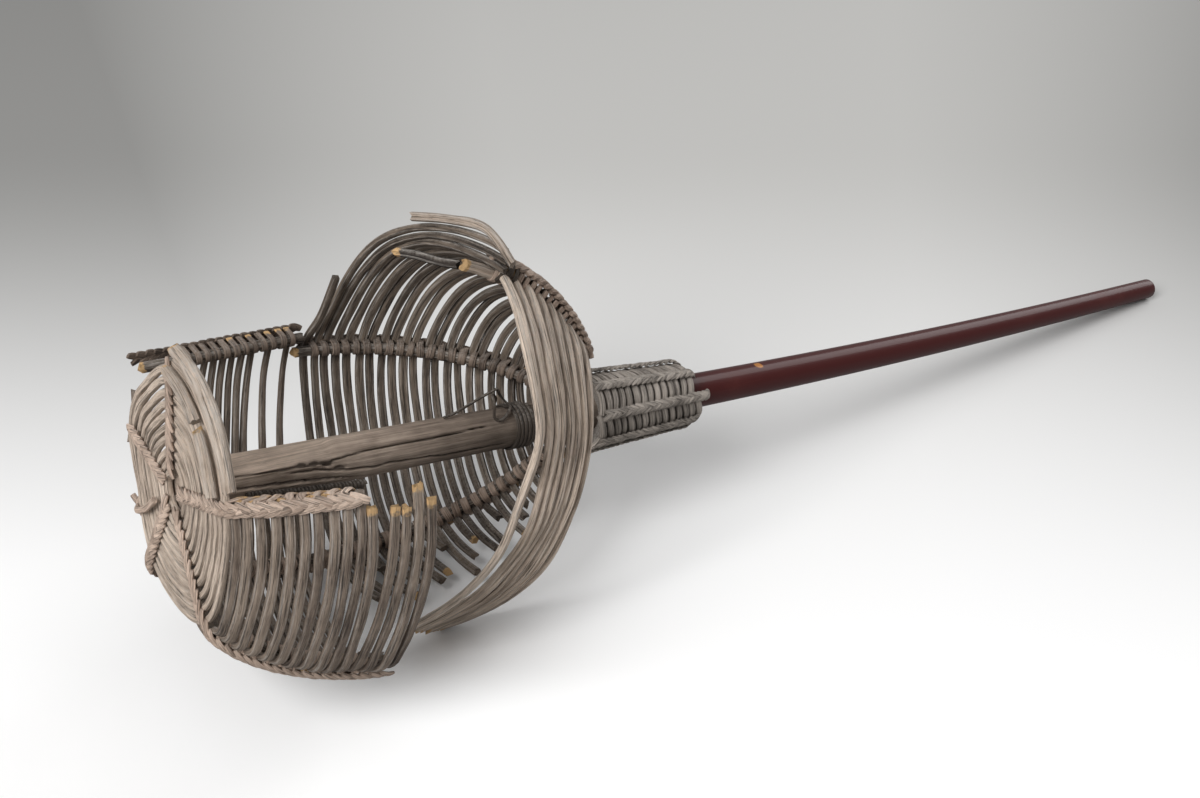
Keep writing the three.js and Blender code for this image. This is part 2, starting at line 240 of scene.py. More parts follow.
def polar(x, radius, angle):
    """A point given by its place along the stick, its distance from the stick's axis and its angle."""
    turn = math.radians(angle)
    return Vector((x, radius * math.sin(turn), radius * math.cos(turn)))


def angle_between(first, second):
    return (first - second + 180) % 360 - 180


def running_lengths(points):
    """How far along a path each of its points lies."""
    steps = ((b - a).length for a, b in zip(points, points[1:]))
    return list(accumulate(steps, initial=0.0))


def segment_end(lengths, distance):
    """Number of the point that ends the segment at a distance along a path."""
    return min(max(bisect.bisect_left(lengths, distance), 1), len(lengths) - 1)


class Outline:
    """The cage's outline, from the edge of the flat end over the belly to the collar."""

    STEPS = 1500

    def __init__(self):
        closing = math.acos(COLLAR_RADIUS / WIDEST_RADIUS)
        sweep_angle = math.pi / 2 + closing
        self.points = [self.point(i / self.STEPS * sweep_angle) for i in range(self.STEPS + 1)]
        self.lengths = running_lengths(self.points)
        self.length = self.lengths[-1]

    @staticmethod
    def point(turn):
        if turn < math.pi / 2:
            swell = math.sin(turn) ** FRONT_FULLNESS
            x = BELLY_PLANE - FRONT_DEPTH * math.cos(turn)
            return Vector((x, END_RADIUS + (WIDEST_RADIUS - END_RADIUS) * swell))
        past = turn - math.pi / 2
        return Vector((BELLY_PLANE + BACK_DEPTH * math.sin(past), WIDEST_RADIUS * math.cos(past)))

    def at(self, distance, lift=0.0):
        """Place and radius at a distance along the outline, lifted off it along its outward normal."""
        index = segment_end(self.lengths, distance)
        first = self.points[index - 1]
        along = (self.points[index] - first).normalized()
        point = first + along * (distance - self.lengths[index - 1])
        return point.x - along.y * lift, point.y + along.x * lift

    def distance_at_plane(self, x):
        """Distance along the outline at which it passes a plane square to the stick."""
        index = bisect.bisect_left([point.x for point in self.points], x)
        return self.lengths[min(index, self.STEPS)]


OUTLINE = Outline()
COLLAR_PLANE = OUTLINE.points[-1].x + ROD_RADIUS + CLEARANCE
BOW_PLANE = COLLAR_PLANE + COLLAR_LENGTH
BOWL_ROD_PITCH = ROD_DIAMETER + BOWL_ROD_GAP
CROWDED_PITCH = ROD_DIAMETER + BOWL_ROD_CROWDING
WRAPPED_ROD_COUNT = BOWL_ROD_COUNT - 1 - STACKED_ROD_COUNT
TOP_PLAIT_START = OUTLINE.length - CLEARANCE - WRAPPED_ROD_COUNT * CROWDED_PITCH
BACK_PLAIT_START = OUTLINE.length - CLEARANCE - ROD_DIAMETER - (BOWL_ROD_COUNT - 1) * BOWL_ROD_PITCH
SPRUNG_START = OUTLINE.at(BACK_PLAIT_START)[0] - SPRUNG_GAP - SPRUNG_LENGTH
CAGE_ROD_PITCH = ROD_DIAMETER + CAGE_ROD_GAP
FIRST_ROD_DISTANCE = ROD_DIAMETER + BINDING_GAP
SPRUNG_ROD_PITCH = ROD_DIAMETER + SPRUNG_ROD_GAP
PLAIT_END = OUTLINE.length - PLAIT_DIAMETER - ROD_DIAMETER - COLLAR_RIDGE_HEIGHT
RIB_BEGIN = ROD_DIAMETER + ROD_RADIUS
RIB_END = OUTLINE.length - ROD_DIAMETER


def stick_radius(x):
    return lerp(BUTT_DIAMETER, TIP_DIAMETER, (x - BUTT_PLANE) / STICK_LENGTH) / 2


def stick_rise(x):
    share = max(0.0, (x - BOW_PLANE) / (TIP_PLANE - BOW_PLANE))
    return STICK_BOW * share ** 2


def sprung_radius(x):
    share = (x - SPRUNG_START) / SPRUNG_LENGTH
    return WIDEST_RADIUS + lerp(-SPRUNG_START_INSET, SPRUNG_END_LIFT, share)


def lying_matrix():
    """From the stick's frame in millimetres to the ground, with the place read off the stick's own box."""
    reach = TIP_PLANE - BELLY_PLANE
    tip_drop = TIP_DIAMETER / 2 - STICK_BOW
    belly_drop = WIDEST_RADIUS * (1 - SIDE_FLATTENING) + ROD_RADIUS
    a = reach ** 2 - BACK_DEPTH ** 2
    b = 2 * reach * tip_drop
    c = tip_drop ** 2 - belly_drop ** 2
    slope = math.atan((-b + math.sqrt(b ** 2 - 4 * a * c)) / (2 * a))
    low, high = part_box("stick")
    turn = Matrix.Rotation(slope, 4, "Y") @ Matrix.Scale(MM, 4)
    butt_low = turn @ Vector((BUTT_PLANE, 0, -BUTT_DIAMETER / 2))
    butt_high = turn @ Vector((BUTT_PLANE, 0, BUTT_DIAMETER / 2))
    place = Vector((low.x - butt_low.x, (low.y + high.y) / 2, high.z - butt_high.z))
    return Matrix.Translation(place) @ turn


LYING = lying_matrix()


# Stations of the bent rods: angle, place along the stick, radius and flattening of the next side
def wall_station(angle, distance, lift=0.0, flattening=SIDE_FLATTENING):
    x, radius = OUTLINE.at(distance, lift)
    return angle, x, radius, flattening


def loose_station(angle, depth, reach, flattening=SIDE_FLATTENING):
    return angle, BELLY_PLANE + depth * BACK_DEPTH, reach * WIDEST_RADIUS, flattening


def between(first, second, share):
    angle, x, radius = (lerp(first[i], second[i], share) for i in range(3))
    return angle, x, radius, first[3]


def turned(station, angle):
    return angle, *station[1:]


def shifted(station, ahead):
    angle, x, radius, flattening = station
    return angle, x + ahead, radius, flattening


def bent_points(stations):
    """Points of a rod that is bent over the ribs."""
    points = []
    for station, following in zip(stations, [*stations[1:], stations[-1]]):
        steps = max(1, round(abs(following[0] - station[0]) / DEGREES_PER_STEP))
        for k in range(steps):
            angle, x, radius, flattening = between(station, following, k / steps)
            bulge = 1 - flattening * math.sin(math.pi * k / steps) ** 2
            points.append(polar(x, radius * bulge, angle))
    return points


def front_rod_distance(index):
    return FIRST_ROD_DISTANCE + index * CAGE_ROD_PITCH


def sprung_rod_place(index):
    return SPRUNG_START + SPRUNG_ROD_INSET + index * SPRUNG_ROD_PITCH


def under_rod_distance(index):
    """Distance along the outline at which a rod of the front half passes the under rib."""
    front_x = OUTLINE.at(front_rod_distance(index))[0]
    return OUTLINE.distance_at_plane((front_x + sprung_rod_place(index)) / 2)


def cage_rod_stations(index):
    sprung_x = sprung_rod_place(index)
    back = (SPRUNG_ANGLE, sprung_x, sprung_radius(sprung_x), SIDE_FLATTENING)
    under = wall_station(UNDER_ANGLE, under_rod_distance(index))
    if index in RODS_LOST_AT_BACK:
        back = between(back, under, LOST_SHARE)
    low = wall_station(LOW_ANGLE, front_rod_distance(index))
    end = FRONT_ANGLE + FRONT_OVERHANG + FREE_ENDS.get(index, 0)
    return [back, under, low, turned(low, end)]


def stack_station(layer):
    distance = TOP_PLAIT_START - STACK_SETBACK - layer * STACK_STEP
    return wall_station(TOP_ANGLE, distance, layer * CROWDED_PITCH)


def bowl_rod_distance(index, pitch=BOWL_ROD_PITCH):
    return OUTLINE.length - (ROD_RADIUS + CLEARANCE + index * pitch)


def bundle_place(index):
    """Place of a bowl rod in the hanging bundle, from 0 beside the collar, or None."""
    place = (index - BUNDLE_FIRST) / BUNDLE_EVERY
    if place == int(place) and 0 <= place < BUNDLE_COUNT:
        return int(place)
    return None


def hanging_stations(place):
    """The slumped part of a bundle rod, from its hanging end up to the top rib."""
    share = place / (BUNDLE_COUNT - 1)
    stations = []
    for near, far in zip(BUNDLE_NEAR, BUNDLE_FAR):
        station = between(loose_station(*near), loose_station(*far), share)
        stations.append(turned(station, station[0] - 360))
    return stations[::-1]


def bowl_rod_stations(index):
    layer = index - WRAPPED_ROD_COUNT
    wrapped = wall_station(TOP_ANGLE, bowl_rod_distance(index, CROWDED_PITCH))
    top = wrapped if layer < 0 else stack_station(layer)
    back = wall_station(BACK_ANGLE, bowl_rod_distance(index))
    under = (*turned(back, UNDER_ANGLE)[:3], 0.0)
    held = turned(under, UNDER_ANGLE + HELD_ANGLE)
    curled = back[2] * (1 - BROKEN_CURL * index / BOWL_ROD_COUNT)
    end = (BROKEN_ANGLES[index % len(BROKEN_ANGLES)], back[1], curled, 0.0)
    if index == BOWL_ROD_COUNT - 1:
        return [turned(back, STUB_ANGLE), back, under, held, end]
    swollen = (*top[:3], -TOP_SWELLING * index / BOWL_ROD_COUNT)
    place = bundle_place(index)
    hanging = [] if place is None else hanging_stations(place)
    return [*hanging, swollen, back, under, held, end]


def coil_point(turns, lift=0.0, plane=0.0):
    """Middle of the flat end's coiled rod, which is pulled towards a corner at each rib."""
    corners = (TOP_ANGLE, BACK_ANGLE, UNDER_ANGLE, LOW_ANGLE, FRONT_ANGLE, TOP_ANGLE + 360)
    angle = TOP_ANGLE + turns * 360
    once = TOP_ANGLE + (angle - TOP_ANGLE) % 360
    sector = max(i for i in range(len(END_FLATTENING)) if corners[i] <= once)
    share = (once - corners[sector]) / (corners[sector + 1] - corners[sector])
    factor = 1 - END_FLATTENING[sector] * math.sin(math.pi * share) ** 2
    radius = lerp(COIL_CORE_RADIUS, END_RADIUS, turns / COIL_TURNS)
    return polar(plane, radius * factor + lift, angle)


def coil_seat(angle, diameter, plane=0.0):
    """Middle of a piece that is seated on the coil's last turn."""
    turns = COIL_TURNS - 1 + (angle - TOP_ANGLE) / 360
    return coil_point(turns, ROD_RADIUS + BINDING_GAP + diameter / 2, plane)


# Paths and sweeps
def smooth_path(points, step):
    """Points at even steps along a smooth curve through the given points."""
    padded = [points[0], *points, points[-1]]
    fine = []
    for before, first, second, after in zip(padded, padded[1:], padded[2:], padded[3:]):
        for k in range(CURVE_STEPS):
            t = k / CURVE_STEPS
            bend = (before * 2 - first * 5 + second * 4 - after) * t ** 2
            turn = (first * 3 - before - second * 3 + after) * t ** 3
            fine.append((first * 2 + (second - before) * t + bend + turn) / 2)
    fine.append(points[-1].copy())
    lengths = running_lengths(fine)
    count = max(3, round(lengths[-1] / step))
    even = []
    for i in range(count + 1):
        distance = lengths[-1] * i / count
        index = segment_end(lengths, distance)
        span = lengths[index] - lengths[index - 1]
        share = 0.0 if span == 0 else (distance - lengths[index - 1]) / span
        even.append(fine[index - 1].lerp(fine[index], share))
    return even


def polar_path(places, step):
    return smooth_path([polar(*place) for place in places], step)


def relaxed(points, passes):
    """The same path with its kinks eased and its ends kept."""
    for _ in range(passes):
        middle = [(a + b * 2 + c) / 4 for a, b, c in zip(points, points[1:], points[2:])]
        points = [points[0], *middle, points[-1]]
    return points


def tangents(points):
    first = points[:1] + points[:-1]
    last = points[1:] + points[-1:]
    return [(b - a).normalized() for a, b in zip(first, last)]


def off_wall(points):
    """Directions out of the cage's wall."""
    outward = []
    for point in points:
        depth = BACK_DEPTH if point.x > BELLY_PLANE else FRONT_DEPTH * FRONT_STRETCH
        slope = (point.x - BELLY_PLANE) / depth ** 2 * WIDEST_RADIUS ** 2
        outward.append(Vector((slope, point.y, point.z)).normalized())
    return outward


def off_stick(points):
    """Directions straight away from the stick's axis."""
    return [Vector((0, point.y, point.z)).normalized() for point in points]


def wandering(points, outward, amount, seed):
    """A path that strays a little, as cane does."""
    strayed = []
    row = seed * 7.3
    for point, length, along, out in zip(points, running_lengths(points), tangents(points), outward):
        across = wobble(length / STRAY_WAVE, row, 0.5) * amount
        rise = wobble(length / RISE_WAVE, row, 9.5) * amount * RISE_SHARE
        strayed.append(point + along.cross(out) * across + out * rise)
    return strayed


def new_mesh():
    """A mesh whose points hold their place in the cane, their finish and how far they face up."""
    mesh = bmesh.new()
    for name in ("section", "grain"):
        mesh.verts.layers.float_vector.new(name)
    for name in ("tone", "raw", "bleached", "upward"):
        mesh.verts.layers.float.new(name)
    return mesh


@dataclass
class Cane:
    """Section and finish of a swept cane or strip.

    Pairs give the start and the end. The last four are functions: of the length along the cane, and of the
    turn round it as well for the relief and the rawness.
    """

    half_width: float
    half_height: float
    sides: int = 8
    squareness: float = 0.8
    tone: float = 0.0
    seed: float = 0.0
    uneven: float = 0.1
    raw: tuple = (0.0, 0.0)
    raw_reach: float = 5.0
    splinter: tuple = (0.0, 0.0)
    taper: tuple = (1.0, 1.0)
    taper_reach: float = 6.0
    widening: object = None
    bleaching: object = None
    relief: object = None
    rawness: object = None


def sweep(mesh, cane, points, outward):
    """Extrudes a cane's section along a path, with its flat side to the given outward directions."""
    section = mesh.verts.layers.float_vector["section"]
    grain = mesh.verts.layers.float_vector["grain"]
    tone = mesh.verts.layers.float["tone"]
    raw = mesh.verts.layers.float["raw"]
    bleached = mesh.verts.layers.float["bleached"]
    rng = random.Random(cane.seed)
    offset = rng.uniform(0, GRAIN_STARTS)
    ring = bmesh.ops.create_circle(mesh, cap_ends=True, segments=cane.sides, radius=1.0)["verts"]
    edges = list(dict.fromkeys(edge for vert in ring for edge in vert.link_edges))
    for vert in ring:
        across = math.copysign(abs(vert.co.x) ** cane.squareness, vert.co.x)
        up = math.copysign(abs(vert.co.y) ** cane.squareness, vert.co.y)
        vert[section] = (across, up, 0.0)
        vert[tone] = cane.tone
    lengths = running_lengths(points)
    last = len(points) - 1
    for i, (point, length, along, out) in enumerate(zip(points, lengths, tangents(points), outward)):
        if i > 0:
            extruded = bmesh.ops.extrude_edge_only(mesh, edges=edges)["geom"]
            ring = [item for item in extruded if isinstance(item, bmesh.types.BMVert)]
            inside = set(ring)
            edges = [item for item in extruded if isinstance(item, bmesh.types.BMEdge)
                     and inside.issuperset(item.verts)]
        up = (out - along * out.dot(along)).normalized()
        across = along.cross(up)
        swell = 1 + cane.uneven * wobble(length / WIDTH_WAVE, offset, 3.0)
        thick = 1 + cane.uneven * wobble(length / THICKNESS_WAVE, offset, 8.0)
        ends = (length, lengths[-1] - length)
        for end, taper in zip(ends, cane.taper):
            narrow = lerp(taper, 1.0, min(1.0, end / cane.taper_reach))
            swell *= narrow
            thick *= narrow
        if cane.widening is not None:
            swell *= cane.widening(length)
        bare = max(level * max(0.0, 1 - end / cane.raw_reach) for end, level in zip(ends, cane.raw))
        faded = 0.0 if cane.bleaching is None else cane.bleaching(length)
        splinter = cane.splinter[0] if i == 0 else cane.splinter[1] if i == last else 0.0
        for vert in ring:
            x, y, _ = vert[section]
            turn = math.atan2(x, y)
            place = across * (x * cane.half_width * swell) + up * (y * cane.half_height * thick)
            if cane.relief is not None:
                place *= cane.relief(length, turn)
            vert.co = point + place + along * (rng.uniform(-1, 1) * splinter)
            vert[raw] = bare if cane.rawness is None else cane.rawness(length, turn)
            vert[bleached] = faded
            vert[grain] = (length + offset, x * cane.half_width, y * cane.half_height)
    bmesh.ops.edgeloop_fill(mesh, edges=edges)


class Meridian:
    """A line along the cage at one angle, through places given as distance along the stick and radius."""

    STEP = 0.8
    SIGHT = 0.5

    def __init__(self, angle, pairs):
        self.angle = angle
        self.side = polar(0, 1, angle + 90)
        self.points = smooth_path([Vector((x, radius, 0)) for x, radius in pairs], self.STEP)
        self.directions = tangents(self.points)
        self.lengths = running_lengths(self.points)
        self.length = self.lengths[-1]

    def at(self, distance, lift=0.0, aside=0.0):
        """Point and outward direction, lifted off the line and moved aside round the stick."""
        index = segment_end(self.lengths, distance)
        along = self.directions[index]
        place = self.points[index] + along * (distance - self.lengths[index])
        out = Vector((-along.y, along.x, 0))
        lifted = place + out * lift
        point = polar(lifted.x, lifted.y, self.angle)
        return point + self.side * aside, polar(out.x, out.y, self.angle)

    def frame(self, distance):
        """Point, direction along the line and outward direction."""
        point, out = self.at(distance)
        ahead = self.at(distance + self.SIGHT)[0]
        return point, (ahead - point).normalized(), out


def wall_pairs(start, end):
    steps = max(2, round((end - start) / WALL_STEP))
    return [OUTLINE.at(lerp(start, end, i / steps)) for i in range(steps + 1)]


def end_pairs(reach):
    inner = COIL_CORE_RADIUS + PLAIT_DIAMETER / 2
    steps = max(2, round((reach - inner) / WALL_STEP))
    return [(0.0, lerp(inner, reach, i / steps)) for i in range(steps + 1)]


def sprung_pairs():
    steps = round(SPRUNG_LENGTH / WALL_STEP)
    places = [SPRUNG_START + SPRUNG_LENGTH * i / steps for i in range(steps + 1)]
    return [(x, sprung_radius(x)) for x in places]


def fishbone(mesh, line, strip, pitch, reach, lift, spine=0.0):
    """Two rows of slanted strips that meet along a line.

    Pitch, reach and lift follow the distance along it. The spine is how far the meeting line lies aside, as a
    share of the reach.
    """
    rng = random.Random(strip.seed)
    distance = 0.0
    row = 0
    while distance < line.length:
        step = pitch(distance)
        side = 1 if row % 2 else -1
        wide = reach(distance) * rng.uniform(*STRIP_REACHES)
        across = wide * (1 - side * spine)
        placed = []
        for i in range(STRIP_STEPS + 1):
            share = i / STRIP_STEPS
            ahead = distance + step * lerp(*STRIP_SLANT, share) + rng.uniform(-STRIP_STRAYING, STRIP_STRAYING)
            arch = math.sin(math.pi * lerp(CROWN_START, 1.0, share))
            rise = lift(distance) + STRIP_CROWN * wide * arch
            aside = wide * spine + side * across * lerp(STRIP_START, 1.0, share)
            placed.append(line.at(ahead, rise, aside))
        strip.half_width = step * rng.uniform(*STRIP_WIDTHS)
        strip.half_height = wide * STRIP_THICKNESS
        strip.tone = rng.uniform(-1, 1)
        sweep(mesh, strip, *zip(*placed))
        strip.seed += 1.37
        distance += step / 2
        row += 1


def wrap(mesh, line, distance, strip, radius, lean):
    """A strip wound round the inner side of a rib, from one edge of the plait to the other."""
    point, along, out = line.frame(distance)
    side = line.side
    centre = point + out * RIB_LIFT
    edge = centre - out * (RIB_LIFT - WRAP_EDGE)
    first, last = (
        (edge + side * (turn * radius * WRAP_NARROWING) + along * (lean * turn / 2), side * turn)
        for turn in (-1, 1)
    )
    placed = [first]
    for i in range(WRAP_STEPS + 1):
        share = i / WRAP_STEPS
        turn = math.radians(lerp(-WRAP_TURN, WRAP_TURN, share))
        away = side * math.sin(turn) - out * math.cos(turn)
        placed.append((centre + away * radius + along * (lean * (share - 0.5)), away))
    placed.append(last)
    sweep(mesh, strip, *zip(*placed))


# Materials
class Wire:
    """A node's output, on which Python's operators add Math nodes."""

    def __init__(self, look, socket):
        self.look = look
        self.socket = socket

    def _math(self, operation, first, second):
        return self.look.add("ShaderNodeMath", {"operation": operation}, {0: first, 1: second})

    def __add__(self, other):
        return self._math("ADD", self, other)

    def __radd__(self, other):
        return self._math("ADD", other, self)

    def __sub__(self, other):
        return self._math("SUBTRACT", self, other)

    def __rsub__(self, other):
        return self._math("SUBTRACT", other, self)

    def __mul__(self, other):
        return self._math("MULTIPLY", self, other)

    def __truediv__(self, other):
        return self._math("DIVIDE", self, other)


class Look:
    """A procedural material under construction."""

    def __init__(self, name):
        self.material = bpy.data.materials.new(name)
        self.material.use_nodes = True
        self.tree = self.material.node_tree
        self.tree.nodes.clear()

    def add(self, kind, settings=None, inputs=None, output=0):
        """Adds any node: its type, its settings, the values or links of its sockets and the output used."""
        node = self.tree.nodes.new(kind)
        for name, value in (settings or {}).items():
            setattr(node, name, value)
        for key, value in (inputs or {}).items():
            if isinstance(value, Wire):
                self.tree.links.new(value.socket, node.inputs[key])
            else:
                node.inputs[key].default_value = value
        return Wire(self, node.outputs[output])

    def attribute(self, name, output="Fac"):
        return self.add("ShaderNodeAttribute", {"attribute_name": name}, output=output)

    def place(self):
        return self.add("ShaderNodeTexCoord", output="Object")

    def part(self, vector, axis):
        return self.add("ShaderNodeSeparateXYZ", inputs={0: vector}, output=axis)

    def vector_math(self, operation, first, second, output=0):
        return self.add("ShaderNodeVectorMath", {"operation": operation}, {0: first, 1: second}, output)

    def noise(self, vector, scale, detail=3.0, roughness=0.55):
        inputs = {"Vector": vector, "Scale": scale, "Detail": detail, "Roughness": roughness}
        return self.add("ShaderNodeTexNoise", inputs=inputs)

    def fibres(self, grain, along, across, detail, roughness):
        """Noise that is drawn out along the grain."""
        stretched = self.vector_math("MULTIPLY", grain, (along, across, across))
        return self.noise(stretched, 1.0, detail, roughness)

    def rise(self, value, low, high, kind="LINEAR"):
        """0 below the low value, 1 above the high one."""
        inputs = {"Value": value, "From Min": low, "From Max": high}
        return self.add("ShaderNodeMapRange", {"interpolation_type": kind}, inputs)

    def mix(self, factor, first, second):
        """A mix of two colours, each a wire or red, green and blue."""
        first, second = (
            colour if isinstance(colour, Wire) else (*colour, 1.0)
            for colour in (first, second)
        )
        return self.add("ShaderNodeMix", {"data_type": "RGBA"}, {0: factor, 6: first, 7: second}, output=2)

    def tint(self, colour, factor):
        """A colour multiplied by a grey value."""
        grey = self.add("ShaderNodeCombineXYZ", inputs={0: factor, 1: factor, 2: factor})
        return self.vector_math("MULTIPLY", colour, grey)

    def finish(self, colour, roughness, height, coat=0.0, specular=0.5):
        bump = self.add("ShaderNodeBump", inputs={"Strength": 1.0, "Distance": 0.0009, "Height": height})
        inputs = {"Base Color": colour, "Roughness": roughness, "Normal": bump, "Coat Weight": coat}
        inputs["Specular IOR Level"] = specular
        return self.output(self.add("ShaderNodeBsdfPrincipled", inputs=inputs))

    def output(self, surface):
        node = self.tree.nodes.new("ShaderNodeOutputMaterial")
        self.tree.links.new(surface.socket, node.inputs["Surface"])
        return self.material


def cane_material(name, cane, pale, dark):
    """Weathered split cane: long fibres, stains, bleaching, dust on top, pale corners that are partly worn
    fibres and partly a painted edge highlight, and raw wood at the breaks.
    """
    look = Look(name)
    bleached = look.attribute("bleached")
    grain = look.attribute("grain", "Vector")
    tone = look.attribute("tone")
    raw = look.attribute("raw")
    upward = look.attribute("upward")
    place = look.place()
    across = look.part(grain, 1)
    through = look.part(grain, 2)
    corner = (across * across) * (through * through)
    streaks = look.fibres(grain, 0.05, 1.1, 5.0, 0.7)
    fibres = look.fibres(grain, 0.14, 4.0, 3.0, 0.65)
    stains = look.noise(place, 38.0, 5.0, 0.65)
    specks = look.noise(place, 800.0, 2.0, 0.5)
    body = look.rise(streaks + fibres * 0.7 + stains * 0.8 + tone * 0.14, 0.92, 1.58)
    low = look.mix(bleached, dark, cane.bleached_dark)
    high = look.mix(bleached, pale, cane.bleached_pale)
    colour = look.mix(body, low, high)
    cracks = look.rise(look.fibres(grain, 0.045, 2.2, 3.0, 0.6), 0.44, 0.33)
    colour = look.tint(colour, 1.0 - cracks * 0.7)
    # The corners of each rod's section are mixed towards the dust colour: partly worn fibres, partly a
    # painted edge highlight
    worn = look.rise(corner, 1.4, 4.0) * look.rise(fibres + stains * 0.4, 0.6, 0.8)
    dusty = look.rise(upward + stains * 1.1, 0.9, 1.7) * look.rise(specks, 0.35, 0.6)
    colour = look.mix(worn * 0.55 + dusty * 0.4, colour, cane.dust_and_edge_highlight)
    bare = look.rise(raw + look.noise(place, 420.0, 2.0) * 0.9, 0.85, 1.1)
    raw_tone = look.mix(look.rise(fibres, 0.5, 0.8), cane.raw_colour, cane.raw_dark)
    colour = look.mix(bare, colour, raw_tone)
    height = streaks * 0.6 + fibres * 0.8 - cracks * 0.8
    return look.finish(colour, 0.86 - body * 0.1, height)


def stick_material(name, stick, chip, stained):
    """Dark lacquer outside the cage and raw, cracked wood inside it, with one chip in the lacquer.

    The stick's rawness goes from 0 in the lacquer to 1 in the raw wood and 2 in its cracks. The wood darkens
    between the two stained places along it. Its colour is painted lighter where it faces up, as a painted
    highlight, and darker where it faces down and in its cracks, as painted shade.
    """
    look = Look(name)
    grain = look.attribute("grain", "Vector")
    raw = look.attribute("raw")
    bare = look.rise(raw, 0.0, 1.0)
    place = look.place()
    streaks = look.fibres(grain, 0.02, 0.55, 5.0, 0.65)
    fibres = look.fibres(grain, 0.06, 2.4, 4.0, 0.65)
    blotches = look.noise(place, 30.0, 4.0, 0.6)
    wood_body = look.rise(streaks + fibres * 0.5 + blotches * 0.6, 0.7, 1.5)
    wood_colour = look.mix(wood_body, stick.wood_dark, stick.wood)
    # Painted shade: the wood is painted darker in its cracks
    cracked = look.rise(raw + fibres * 0.5, 1.45, 1.75)
    stain = look.rise(look.part(place, 0), *stained)
    # Painted light: the wood is painted lighter where it faces up (painted highlight) and darker where it
    # faces down (painted shade)
    painted_top_light = look.rise(look.attribute("upward"), 0.1, 0.95)
    # shade holds the wood's own blotches and stain together with the painted highlight on top and the painted
    # shade below and in the cracks
    shade = (0.62 + blotches) * (0.82 + painted_top_light * 0.55) * (1.0 - cracked * 0.65) * (1.0 - stain * 0.7)
    wood_colour = look.tint(wood_colour, shade)
    wear = look.rise(blotches + fibres * 0.4, 0.72, 1.0)
    lacquer_colour = look.mix(wear * 0.45, stick.lacquer, stick.worn)
    away = look.vector_math("DISTANCE", place, chip, 1)
    chipped = look.rise(away + look.noise(place, 500.0) * 0.003, 0.0042, 0.0034)
    lacquer_colour = look.mix(chipped, lacquer_colour, stick.chip)
    colour = look.mix(bare, lacquer_colour, wood_colour)
    roughness = bare * 0.4 + 0.4 + wear * 0.1
    height = (streaks * 0.6 + fibres * 0.7) * (bare + 0.04)
    return look.finish(colour, roughness, height, (1.0 - bare) * 0.2, 0.15)


def floor_material(name, stage, sight, foot):
    """A pale floor, painted darker with the distance from the camera's foot and far away towards both sides:
    a painted fall-off of the light and painted shade in the far corners.
    """
    look = Look(name)
    place = look.place()
    depth = look.vector_math("DOT_PRODUCT", place, sight, 1)
    lateral = look.vector_math("DOT_PRODUCT", place, Vector((sight.y, -sight.x, 0.0)), 1)
    ahead = depth - foot
    # Painted light: the floor fades from the near to the far colour as a painted fall-off of the light
    faded = look.rise(ahead, 0.45, 1.12, "SMOOTHSTEP")
    slant = lateral / ahead
    # Painted shade: the far corners are painted darker, as a vignette
    corner = look.rise(slant * slant, 0.02, 0.17) * faded
    colour = look.tint(look.mix(faded, stage.floor_near, stage.floor_far), 1.0 - corner * 0.46)
    seen = look.add("ShaderNodeLightPath", output="Is Camera Ray")
    colour = look.mix(seen, stage.floor_bounce, colour)
    return look.output(look.add("ShaderNodeBsdfDiffuse", inputs={"Color": colour}))


# Properties
def length_property(name, description, default):
    return FloatProperty(name=name, description=description, default=default, min=0.0, unit="LENGTH",
                         subtype="DISTANCE", precision=4)


def colour_property(name, description, default):
    return FloatVectorProperty(name=name, description=description, default=default, size=3, min=0.0, max=1.0,
                               subtype="COLOR")


def power_property(name, description, default):
    return FloatProperty(name=name, description=description, default=default, min=0.0, unit="POWER")


def angle_property(name, description, degrees):
    return FloatProperty(name=name, description=description, default=math.radians(degrees), unit="ROTATION",
                         subtype="ANGLE")


class RattleCaneSettings(bpy.types.PropertyGroup):
    """Sizes and colours of the split cane."""

    rod_width: length_property("Rod width", "Width of a bent rod along the wall", 0.0043)
    rod_thickness: length_property("Rod thickness", "Thickness of a bent rod", 0.0034)
    straying: length_property("Straying", "How far a rod strays from its line", 0.0009)
    splinter: length_property("Splinters", "How far the fibres stand out at a broken end", 0.0016)
    bleached_pale: colour_property("Bleached cane", "Flat end and hanging rods", (0.93, 0.77, 0.63))
    bleached_dark: colour_property("Bleached cane, dark", "Stains on the bleached cane", (0.34, 0.26, 0.20))
    outer_pale: colour_property("Outer cane", "Cane of the front rods", (0.415, 0.328, 0.257))
    outer_dark: colour_property("Outer cane, dark", "Stains on the front rods", (0.105, 0.075, 0.056))
    # The inner cane is darker than the outer cane partly because it is darker cane and partly as painted
    # shade inside the bowl
    inner_pale: colour_property("Inner cane", "Cane inside the bowl", (0.26, 0.20, 0.15))
    inner_dark: colour_property("Inner cane, dark", "Stained cane inside the bowl", (0.034, 0.024, 0.018))
    raw_colour: colour_property("Raw cane", "Fresh wood at a break", (0.66, 0.43, 0.21))
    raw_dark: colour_property("Raw cane, dark", "Fibres of the fresh wood", (0.42, 0.21, 0.07))
    # This colour serves both the dust on what faces up and the painted highlight on the corners of the rods
    dust_and_edge_highlight: colour_property("Dust", "Dust on what faces up", (0.50, 0.46, 0.42))


